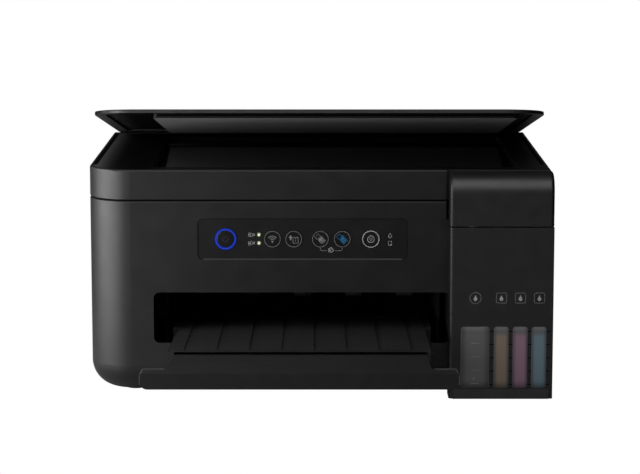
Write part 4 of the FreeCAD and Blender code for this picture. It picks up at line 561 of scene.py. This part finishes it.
DEEP_BLUE_LIGHT = glow("power_light_edge", (0.002, 0.014, 0.50), strength=0.5, base=(0.002, 0.006, 0.05))
FAINT_BLUE_LIGHT = glow("power_light_halo", (0.001, 0.006, 0.10), strength=0.5, base=(0.002, 0.003, 0.01))
LENS_EDGE_LIGHT = glow("lens_light_edge", (0.10, 0.14, 0.010), strength=0.75, base=(0.03, 0.03, 0.01))
INK_GREY = print_ink("print_grey", (0.13, 0.13, 0.13))
INK_WHITE = print_ink("print_white", (0.32, 0.32, 0.32))
INK_DIM = print_ink("print_dim", (0.030, 0.026, 0.060))
INK_PALE = print_ink("print_pale", (0.20, 0.20, 0.20))
INK_BLUE = print_ink("print_blue", (0.016, 0.15, 0.31))
# Painted highlight on the ends of the tray's front bar
EDGE_HIGHLIGHT = plastic("painted_highlight", (0.110, 0.110, 0.112), rough=0.4)
# Painted shadow: near-black plastic for strips laid where there is only shade
SHADE_PAINT = plastic("painted_shade", (0.0012, 0.0012, 0.0012), rough=0.8, specular=0.05)
# Painted highlight round the tank windows
RIM_HIGHLIGHT = plastic("painted_rim_highlight", (0.13, 0.13, 0.133), rough=0.4)
LEVEL_MARK = plastic("level_mark", (0.19, 0.19, 0.193), rough=0.4)

NODE_LOOKS = (
    (HOUSING, ("main_housing", "scanner_tub", "paper_support", "feeder_guard")),
    (PANEL, ("control_panel",)),
    (KEY, ("power_button", "wireless_button", "document_button")),
    (KEY, ("mono_copy_button", "colour_copy_button", "stop_button")),
    (BLUE_LIGHT, ("power_light_ring",)),
    (LENS_LIGHT, ("indicator_lenses",)),
    (TANK_SHELL, ("tank_housing", "tank_cover")),
    (BED, ("scanner_frame",)),
    (GLASS, ("scanner_glass",)),
    (LID, ("document_cover",)),
    (MAT, ("document_mat",)),
    (TRAY, ("output_tray", "tray_extension")),
    (INNER, ("base_plate", "scan_sensor_bar", "platen", "print_carriage", "rear_paper_chute")),
    (INNER, ("edge_guide_left", "edge_guide_right", "power_supply", "power_inlet")),
    (GREY_INNER, ("pinch_rollers", "encoder_strip", "print_head", "maintenance_station")),
    (WHITE_GEAR, ("idler_gear", "drive_pulley", "idler_pulley")),
    (RUBBER, ("rubber_feet", "carriage_belt")),
    (ROLLER_RUBBER, ("feed_roller", "exit_roller", "pickup_roller")),
    (STEEL, ("scanner_hinge_pins", "lid_hinge_pins", "motor_pinion", "star_wheels")),
    (STEEL, ("feed_motor", "carriage_motor")),
    (SHEET_STEEL, ("chassis_frame",)),
    (BOARD, ("control_board", "main_board")),
    (TUBE, ("ink_tubes",)),
)

# Ink behind the middle of a window, and the tank's wall at its sides
INKS = {
    "black": ((0.120, 0.120, 0.120), (0.066, 0.066, 0.066)),
    "yellow": ((0.214, 0.165, 0.130), (0.088, 0.084, 0.077)),
    "magenta": ((0.242, 0.145, 0.198), (0.097, 0.079, 0.097)),
    "cyan": ((0.128, 0.188, 0.223), (0.077, 0.092, 0.110)),
}


def dress(node, material):
    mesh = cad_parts[node].data
    mesh.materials.clear()
    mesh.materials.append(material)


for look, nodes in NODE_LOOKS:
    for node in nodes:
        dress(node, look)
for colour, tones in INKS.items():
    dress("ink_tank_" + colour, tank_plastic("ink_tank_" + colour, *tones))
    dress("ink_cap_" + colour, INNER)


# Flat outlines, in (x, z) millimetres


def arc(cx, cz, r, start, end, steps=ARC_STEPS):
    turns = [math.radians(start + (end - start) * k / steps) for k in range(steps + 1)]
    return [(cx + r * math.cos(t), cz + r * math.sin(t)) for t in turns]


def circle(cx, cz, r, steps):
    return arc(cx, cz, r, 0, 360, steps)[:-1]


def placed(points, cx, cz, degrees=0.0):
    """Points turned round the origin and then moved to their place."""
    c = math.cos(math.radians(degrees))
    s = math.sin(math.radians(degrees))
    return [(cx + x * c - z * s, cz + x * s + z * c) for x, z in points]


def rectangle(first, second):
    """Corners in turn, from a range along each axis."""
    a0, a1 = first
    b0, b1 = second
    return [(a0, b0), (a1, b0), (a1, b1), (a0, b1)]


def rounded(cx, cz, half_x, half_z, r):
    loop = []
    for sx, sz, start in ((1, 1, 0), (-1, 1, 90), (-1, -1, 180), (1, -1, 270)):
        loop += arc(cx + sx * (half_x - r), cz + sz * (half_z - r), r, start, start + 90, CORNER_STEPS)
    return loop


def sheet(cx, cz, half_x, half_z, tilt):
    return placed(rectangle((-half_x, half_x), (-half_z, half_z)), cx, cz, tilt)


def drop(cx, cz, r):
    """Outline of a falling drop with its point up."""
    return [(cx, cz + DROP_POINT * r)] + arc(cx, cz, r, *DROP_ARC, SMALL_STEPS)


def band(points, width, closed=False):
    """Quads of a line of that width along the points."""
    count = len(points)
    sides = []
    for k, (x, z) in enumerate(points):
        ax, az = points[k - 1] if k or closed else points[k]
        bx, bz = points[(k + 1) % count] if k < count - 1 or closed else points[k]
        dx, dz = bx - ax, bz - az
        length = math.hypot(dx, dz) or 1.0
        nx, nz = -dz / length * width / 2, dx / length * width / 2
        sides.append(((x + nx, z + nz), (x - nx, z - nz)))
    pairs = list(zip(sides, sides[1:] + sides[:1] if closed else sides[1:]))
    return [(a[0], a[1], b[1], b[0]) for a, b in pairs]


def ring(cx, cz, r, width, steps=RING_STEPS):
    return band(circle(cx, cz, r, steps), width, True)


# Pieces that ride on a body of the part


def add_piece(name, shape, material, body):
    mesh = bpy.data.meshes.new(name)
    shape.to_mesh(mesh)
    shape.free()
    piece = new_object(name, mesh)
    mesh.materials.append(material)
    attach(piece, body)


def printed(name, y, polygons, material, body):
    """One piece from flat polygons, drawn out from the face at y towards the front."""
    shape = bmesh.new()
    for polygon in polygons:
        shape.faces.new([shape.verts.new(at(x, y + INK_LIFT, z)) for x, z in polygon])
    bmesh.ops.remove_doubles(shape, verts=shape.verts, dist=WELD)
    bmesh.ops.recalc_face_normals(shape, faces=shape.faces)
    grown = bmesh.ops.extrude_face_region(shape, geom=list(shape.faces))
    moved = [v for v in grown["geom"] if isinstance(v, bmesh.types.BMVert)]
    bmesh.ops.translate(shape, verts=moved, vec=(0, -(INK_THICK + INK_LIFT) * MM, 0))
    bmesh.ops.recalc_face_normals(shape, faces=shape.faces)
    add_piece(name, shape, material, body)


def block(name, corners, faces, material, body):
    """A solid piece from its corners in metres and its faces."""
    shape = bmesh.new()
    points = [shape.verts.new(corner) for corner in corners]
    for face in faces:
        shape.faces.new([points[k] for k in face])
    bmesh.ops.recalc_face_normals(shape, faces=shape.faces)
    add_piece(name, shape, material, body)


def prism_faces(count, first=0):
    """Faces of a prism whose two ends have that many corners, numbered from first."""
    faces = [tuple(range(count)), tuple(range(2 * count - 1, count - 1, -1))]
    faces += [(k, k + count, (k + 1) % count + count, (k + 1) % count) for k in range(count)]
    return [tuple(first + k for k in face) for face in faces]


def prism(name, outline, axis, low, high, material, body):
    """A flat outline drawn out along one axis, from low to high, all in bench millimetres."""
    corners = []
    for depth in (low, high):
        for a, b in outline:
            corners.append(at(depth, a, b) if axis == "x" else at(a, b, depth))
    block(name, corners, prism_faces(len(outline)), material, body)


# Marks on the buttons, with places from the button's middle
RINGED_BUTTONS = (
    "wireless_button",
    "document_button",
    "mono_copy_button",
    "colour_copy_button",
    "stop_button",
)
BUTTON_LIP = 1.2
BUTTON_RING = 0.5
STOP_RING = 0.75


def ring_marks():
    for node in RINGED_BUTTONS:
        low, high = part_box(node)
        x, y, z = node_centre(node)
        width = STOP_RING if node == "stop_button" else BUTTON_RING
        ink = INK_WHITE if node == "stop_button" else INK_GREY
        r = (high[0] - low[0]) / 2 / MM - BUTTON_LIP - width / 2
        printed(node + "_ring", y, ring(x, z, r, width), ink, node)


# A broken circle with a stem
POWER_ARC_R = 2.3
POWER_ARC = (125, 415)
POWER_STEM = ((0, 0.4), (0, 2.9))


def power_mark():
    x, y, z = node_centre("power_button")
    shapes = band(arc(x, z, POWER_ARC_R, *POWER_ARC), LINE)
    shapes += band(placed(POWER_STEM, x, z), LINE)
    printed("power_mark", y, shapes, INK_DIM, "power_button")


# Radio waves over a dot
WAVE_FOOT = 2.2
WAVE_DOT_R = 0.75
WAVE_RADII = (1.9, 3.3, 4.7)
WAVE_SPAN = (45, 135)
WAVE_STEPS = 14


def wireless_mark():
    x, y, z = node_centre("wireless_button")
    foot = z - WAVE_FOOT
    shapes = [circle(x, foot, WAVE_DOT_R, SMALL_STEPS)]
    for r in WAVE_RADII:
        shapes += band(arc(x, foot, r, *WAVE_SPAN, WAVE_STEPS), LINE)
    printed("wireless_mark", y, shapes, INK_PALE, "wireless_button")


# A sheet with a stem and a dot on it, and an arrow that points up beside it
NOTE_AT = (1.6, -0.9)
NOTE_HALF = (2.1, 2.3)
NOTE_STEM = ((1.6, -2.0), (1.6, -0.5))
NOTE_DOT = (1.6, 0.4)
NOTE_DOT_R = 0.4
NOTE_DOT_STEPS = 10
ARROW_HEAD = ((-4.0, 1.0), (-0.9, 1.0), (-2.4, 3.4))
ARROW_STEM = ((-2.4, 1.1), (-2.4, -0.8))
ARROW_LINE = 1.2


def document_mark():
    x, y, z = node_centre("document_button")
    shapes = band(sheet(x + NOTE_AT[0], z + NOTE_AT[1], *NOTE_HALF, 0), LINE, True)
    shapes += band(placed(NOTE_STEM, x, z), LINE)
    shapes += [circle(x + NOTE_DOT[0], z + NOTE_DOT[1], NOTE_DOT_R, NOTE_DOT_STEPS)]
    shapes += [placed(ARROW_HEAD, x, z)]
    shapes += band(placed(ARROW_STEM, x, z), ARROW_LINE)
    printed("document_mark", y, shapes, INK_PALE, "document_button")


# Two tilted sheets, the front one with rows of text
COPY_TILT = 45
REAR_SHEET_AT = (-1.7, 1.5)
REAR_SHEET_HALF = (1.8, 2.2)
FRONT_SHEET_AT = (0.9, -0.6)
FRONT_SHEET_HALF = (2.1, 2.7)
TEXT_ROWS = (-1.6, -0.5, 0.6, 1.7)
TEXT_HALF = 1.7
TEXT_LINE = 0.75


def copy_mark(node, ink):
    x, y, z = node_centre(node)
    rear_x, rear_z = x + REAR_SHEET_AT[0], z + REAR_SHEET_AT[1]
    front_x, front_z = x + FRONT_SHEET_AT[0], z + FRONT_SHEET_AT[1]
    shapes = band(sheet(rear_x, rear_z, *REAR_SHEET_HALF, COPY_TILT), FINE_LINE, True)
    shapes += band(sheet(front_x, front_z, *FRONT_SHEET_HALF, COPY_TILT), FINE_LINE, True)
    for row in TEXT_ROWS:
        line = placed([(-TEXT_HALF, row), (TEXT_HALF, row)], front_x, front_z, COPY_TILT)
        shapes += band(line, TEXT_LINE)
    printed(node + "_mark", y, shapes, ink, node)


# A triangle in a circle
STOP_R = 2.7
STOP_STEPS = 30
STOP_CORNERS = ((-1.5, 0.9), (1.5, 0.9), (0, -1.6))


def stop_mark():
    x, y, z = node_centre("stop_button")
    shapes = ring(x, z, STOP_R, LINE, STOP_STEPS)
    shapes += band(placed(STOP_CORNERS, x, z), LINE, True)
    printed("stop_mark", y, shapes, INK_WHITE, "stop_button")


# Marks on the control panel
LENS_STEPS = 24


def light_edges():
    """Deeper colour at the rims of the power light and of the two lamps, and a painted glow on the panel
    round the power light.
    """
    x, y, z = node_centre("power_light_ring")
    inner, outer = LIGHT_R
    rims = ring(x, z, inner + LIGHT_EDGE / 2, LIGHT_EDGE)
    rims += ring(x, z, outer - LIGHT_EDGE / 2, LIGHT_EDGE)
    printed("power_light_edges", y, rims, DEEP_BLUE_LIGHT, BODY)
    # Painted glow: a faint blue ring of light on the panel round the power light
    halo = ring(x, z, outer + LIGHT_HALO / 2, LIGHT_HALO)
    printed("power_light_halo", y, halo, FAINT_BLUE_LIGHT, BODY)
    x, y, _ = node_centre("indicator_lenses")
    rims = []
    for z in LENS_Z:
        rims += ring(x, z, LENS_R - LENS_EDGE / 2, LENS_EDGE, LENS_STEPS)
    printed("lens_edges", y, rims, LENS_EDGE_LIGHT, BODY)


# A tilted sheet with a bar on it and two strokes beside each lamp
LAMP_TILTS = (-14.0, 14.0)
LAMP_SHEET_X = -55.6
LAMP_SHEET_HALF = (1.6, 1.3)
LAMP_BAR_X = -55.9
LAMP_BAR_HALF = (0.8, 0.35)
LAMP_STROKES = (-53.5, -52.6)
LAMP_STROKE = ((0, -0.9), (0.4, 1.2))


def lamp_marks():
    shapes = []
    for z, tilt in zip(LENS_Z, LAMP_TILTS):
        shapes += band(sheet(LAMP_SHEET_X, z, *LAMP_SHEET_HALF, tilt), FINE_LINE, True)
        shapes += [sheet(LAMP_BAR_X, z, *LAMP_BAR_HALF, tilt)]
        for x in LAMP_STROKES:
            shapes += band(placed(LAMP_STROKE, x, z), FINE_LINE)
    printed("lamp_marks", front_of("control_panel"), shapes, INK_WHITE, BODY)


# A bracket under the two copy buttons with sheets in its middle: x, z and half sizes of each sheet
BRACKET_X = (0.8, 18.4)
BRACKET_Z = (119.6, 122.2)
BRACKET_BEND = 0.8
BRACKET_GAP = (6.2, 12.6)
SYMBOL_SHEET = (9.5, 120.1, 1.3, 1.7)
SYMBOL_FILL = (8.3, 119.4, 1.0, 0.6)
SYMBOL_TILT = 35
SYMBOL_LINE = 0.7


def copy_bracket():
    y = front_of("control_panel")
    left, right = BRACKET_X
    foot, top = BRACKET_Z
    gap_left, gap_right = BRACKET_GAP
    bend = foot + BRACKET_BEND
    shapes = band([(left, top), (left, bend), (left + BRACKET_BEND, foot), (gap_left, foot)], LINE)
    shapes += band([(gap_right, foot), (right - BRACKET_BEND, foot), (right, bend), (right, top)], LINE)
    printed("copy_bracket", y, shapes, INK_GREY, BODY)
    symbol = band(sheet(*SYMBOL_SHEET, SYMBOL_TILT), SYMBOL_LINE, True) + [sheet(*SYMBOL_FILL, SYMBOL_TILT)]
    printed("copy_symbol", y, symbol, INK_WHITE, BODY)


# A drop, as x, z and radius, and a sheet with a dark corner, as x, z and half sizes
SUPPLY_DROP = (57.0, 131.4, 1.25)
SUPPLY_SHEET = (57.0, 125.7, 1.3, 1.7)
SUPPLY_CORNER = ((57.0, 124.1), (58.2, 124.1), (58.2, 125.3))


def supply_marks():
    """Marks at the right end of the panel."""
    shapes = band(drop(*SUPPLY_DROP), FINE_LINE, True)
    shapes += band(sheet(*SUPPLY_SHEET, 0), FINE_LINE, True)
    shapes += [SUPPLY_CORNER]
    printed("supply_marks", front_of("control_panel"), shapes, INK_WHITE, BODY)


# Thin trim, and thin strips of painted shadow and painted highlight


def panel_lower_edge():
    """Moulded lower edge of the panel recess, sloped up to the panel's face."""
    face = front_of("control_panel")
    left, right = PANEL_X
    section = [(0.0, PANEL_LOW), (face, PANEL_LOW), (face, PANEL_LOW + PANEL_SLOPE)]
    prism("panel_lower_edge", section, "x", left + PANEL_ROUND, right - PANEL_ROUND, HOUSING, BODY)


def lid_axis():
    """The lid's hinge axis: y and z in metres."""
    low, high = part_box("lid_hinge_pins")
    return (low[1] + high[1]) / 2, (low[2] + high[2]) / 2


def lid_box(name, x_range, y_range, z_range, material):
    """A box on the document cover: x, and y and z from its hinge axis, before it is tilted."""
    axis_y, axis_z = lid_axis()
    section = placed(rectangle(y_range, z_range), 0.0, 0.0, -LID_TILT)
    corners = [(x * MM, axis_y + y * MM, axis_z + z * MM) for x in x_range for y, z in section]
    block(name, corners, prism_faces(len(section)), material, "document_cover")


def lid_rear_lips():
    """Short walls under the lid behind its hinges, which close the slit over the bed."""
    inner, outer = LID_LIP_X
    lid_box("lid_rear_lip_left", (-outer, -inner), LID_LIP_Y, LID_LIP_Z, LID)
    lid_box("lid_rear_lip_right", (inner, outer), LID_LIP_Y, LID_LIP_Z, LID)


def mat_front_painted_shadow():
    """Painted shadow: a black strip along the upper front edge of the mat."""
    low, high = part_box("document_mat")
    axis_y, _ = lid_axis()
    tilt = math.radians(-LID_TILT)
    bottom, top = MAT_FRONT_Z
    front = ((low[1] - axis_y) / MM + bottom * math.sin(tilt)) / math.cos(tilt)
    x_range = (low[0] / MM + MAT_ROUND, high[0] / MM - MAT_ROUND)
    y_range = (front - INK_THICK, front + INK_THICK)
    lid_box("mat_front_painted_shadow", x_range, y_range, (top - MAT_SHADOW, top), SHADE_PAINT)


def tray_bar_highlights():
    """Painted highlight: bright strips round both ends of the tray's front bar."""
    low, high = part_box("tray_extension")
    top = high[2] / MM
    front = front_of("tray_extension") + BAR_HEIGHT * math.sin(math.radians(TRAY_SLOPE))
    for name, end, inward in (("left", low[0] / MM, 1), ("right", high[0] / MM, -1)):
        corners = []
        faces = []
        for x_range, back_range, up_range in BAR_HIGHLIGHTS:
            section = placed(rectangle(back_range, up_range), front, top, -TRAY_SLOPE)
            faces += prism_faces(len(section), len(corners))
            corners += [at(end + inward * x, y, z) for x in x_range for y, z in section]
        block("tray_bar_highlight_" + name, corners, faces, EDGE_HIGHLIGHT, "tray_extension")


def bed_edge_painted_shadows():
    """Painted shadow: black strips along the left and right edges of the bed."""
    low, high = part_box("scanner_tub")
    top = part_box("scanner_frame")[1][2] / MM
    bottom = top - BED_SHADOW_HALF
    top += BED_SHADOW_HALF
    for name, edge, inward in (("left", low[0] / MM, 1), ("right", high[0] / MM, -1)):
        outline = rectangle([edge + inward * x for x in BED_SHADOW_X], BED_SHADOW_Y)
        prism("bed_edge_painted_shadow_" + name, outline, "z", bottom, top, SHADE_PAINT, "scanner_unit")


def seam_line(inset):
    """Line round the body's left side, corner and front, that far inside its face."""
    corner = arc(BODY_LEFT + BODY_ROUND, BODY_ROUND, BODY_ROUND - inset, 180, 270, SEAM_STEPS)
    return [(BODY_LEFT + inset, SEAM_BACK)] + corner + [(SEAM_RIGHT, inset)]


def seam_painted_shadow():
    """Painted shadow: a black strip on the housing's upper edge, set back in the seam under the scanner."""
    outer = seam_line(SEAM_INSET)
    inner = seam_line(SEAM_INSET + SEAM_WIDTH)
    prism("seam_painted_shadow", outer + inner[::-1], "z", *SEAM_Z, SHADE_PAINT, BODY)


def tank_plinth():
    """Sloped foot of the tank housing."""
    face = front_of("tank_cover")
    seat = face + PLINTH_SEAT
    proud = face - PLINTH_PROUD
    bottom, top = PLINTH_Z
    outline = [(seat, bottom), (proud, bottom), (proud, bottom + PLINTH_TOE), (face, top), (seat, top)]
    prism("tank_plinth", outline, "x", *PLINTH_X, TANK_SHELL, BODY)


# Marks and lines on the tank housing, with painted shade in its grooves and painted highlights round its
# windows


def tank_labels():
    y = front_of("tank_cover")
    round_x, round_r = LABEL_ROUND
    frames = {"black": (round_x, circle(round_x, LABEL_Z, round_r, RING_STEPS))}
    for name, x in LABEL_SQUARES:
        frames[name] = (x, rounded(x, LABEL_Z, LABEL_HALF, LABEL_HALF, LABEL_CORNER))
    for name, (x, loop) in frames.items():
        printed("tank_frame_" + name, y, band(loop, LINE, True), INK_GREY, BODY)
        printed("tank_drop_" + name, y, [drop(x, LABEL_Z - LABEL_DROP_SINK, LABEL_DROP)], INK_WHITE, BODY)


def level_groove_shade():
    """Painted shade: black lines in the level grooves between the windows."""
    lines = []
    for z in LEVEL_LINES:
        for left, right in LEVEL_GAPS:
            lines += band([(left, z), (right, z)], LEVEL_SHADE)
    printed("level_groove_shade", front_of("tank_cover"), lines, SHADE_PAINT, BODY)


def window_rim_highlights():
    """Painted highlight: a bright line round the rim of each window."""
    sides = [WINDOW_LEFT] + [x for gap in LEVEL_GAPS for x in gap]
    bottom, top = WINDOW_Z
    middle = (bottom + top) / 2
    half_z = (top - bottom) / 2
    rims = []
    for left, right in zip(sides[0::2], sides[1::2]):
        loop = rounded((left + right) / 2, middle, (right - left) / 2, half_z, WINDOW_ROUND)
        rims += band(loop, RIM_HIGHLIGHT_WIDTH, True)
    printed("window_rim_highlights", front_of("tank_cover"), rims, RIM_HIGHLIGHT, BODY)


def level_ticks():
    """Level marks and a drop on the window of the black tank."""
    ticks = []
    for z in TICK_Z:
        ticks += band([(TICK_X - TICK_HALF, z), (TICK_X + TICK_HALF, z)], TICK_LINE)
    ticks += [drop(*TICK_DROP)]
    printed("level_ticks", front_of("ink_tank_black"), ticks, LEVEL_MARK, BODY)


ring_marks()
light_edges()
power_mark()
wireless_mark()
document_mark()
copy_mark("mono_copy_button", INK_PALE)
copy_mark("colour_copy_button", INK_BLUE)
stop_mark()
lamp_marks()
copy_bracket()
supply_marks()
panel_lower_edge()
lid_rear_lips()
mat_front_painted_shadow()
tray_bar_highlights()
bed_edge_painted_shadows()
seam_painted_shadow()
tank_plinth()
tank_labels()
level_groove_shade()
window_rim_highlights()
level_ticks()


# Floor, light and camera


def light_paths(tree, seen, other):
    """One shader for what the camera sees and another for every other ray."""
    path = tree.nodes.new("ShaderNodeLightPath")
    mix = tree.nodes.new("ShaderNodeMixShader")
    tree.links.new(path.outputs["Is Camera Ray"], mix.inputs["Fac"])
    tree.links.new(other, mix.inputs[1])
    tree.links.new(seen, mix.inputs[2])
    return mix.outputs["Shader"]


def floor_paper():
    """Pale paper that the camera sees as white."""
    material, tree, shader = new_material("floor_paper")
    greys = [(place, (grey, grey, grey)) for place, grey in zip(NOISE_ENDS, FLOOR_GREYS)]
    tree.links.new(ramp(tree, grain(tree, FLOOR_GRAIN), greys), shader.inputs["Base Color"])
    shader.inputs["Roughness"].default_value = FLOOR_ROUGH
    shader.inputs["Specular IOR Level"].default_value = 0.0
    white = tree.nodes.new("ShaderNodeEmission")
    white.inputs["Strength"].default_value = 1.0
    output = tree.nodes["Material Output"]
    tree.links.new(light_paths(tree, white.outputs[0], shader.outputs[0]), output.inputs["Surface"])
    return material


def pale_floor():
    mesh = bpy.data.meshes.new("floor")
    reach = (-FLOOR_HALF, FLOOR_HALF)
    mesh.from_pydata([(x, y, 0) for x, y in rectangle(reach, reach)], [], [(0, 1, 2, 3)])
    floor = new_object("floor", mesh)
    mesh.materials.append(floor_paper())


def white_room(tree, strength):
    node = tree.nodes.new("ShaderNodeBackground")
    node.inputs["Color"].default_value = (1, 1, 1, 1)
    node.inputs["Strength"].default_value = strength
    return node.outputs[0]


def backdrop():
    """A room that the camera sees as white and that lights the part dimly."""
    world = bpy.data.worlds.new("studio")
    bpy.context.scene.world = world
    world.use_nodes = True
    tree = world.node_tree
    tree.nodes.clear()
    seen = white_room(tree, 1.0)
    dim = white_room(tree, ROOM_LIGHT)
    output = tree.nodes.new("ShaderNodeOutputWorld")
    tree.links.new(light_paths(tree, seen, dim), output.inputs["Surface"])


def soft_box(name, place, aim, width, height, power):
    data = bpy.data.lights.new(name, "AREA")
    data.shape = "RECTANGLE"
    data.size = width
    data.size_y = height
    data.energy = power
    lamp = new_object(name, data)
    lamp.location = place
    lamp.rotation_euler = (Vector(aim) - Vector(place)).to_track_quat("-Z", "Y").to_euler()


def camera():
    data = bpy.data.cameras.new("camera")
    data.lens = CAMERA_LENS
    data.sensor_width = SENSOR_WIDTH
    data.clip_end = CAMERA_REACH
    eye = new_object("camera", data)
    eye.location = at(*CAMERA_AT)
    eye.rotation_euler = (math.radians(CAMERA_PITCH), 0.0, 0.0)
    bpy.context.scene.camera = eye


pale_floor()
backdrop()
for name, box in SOFT_BOXES.items():
    soft_box(name, **box)
camera()
bpy.context.scene.view_settings.view_transform = "Standard"
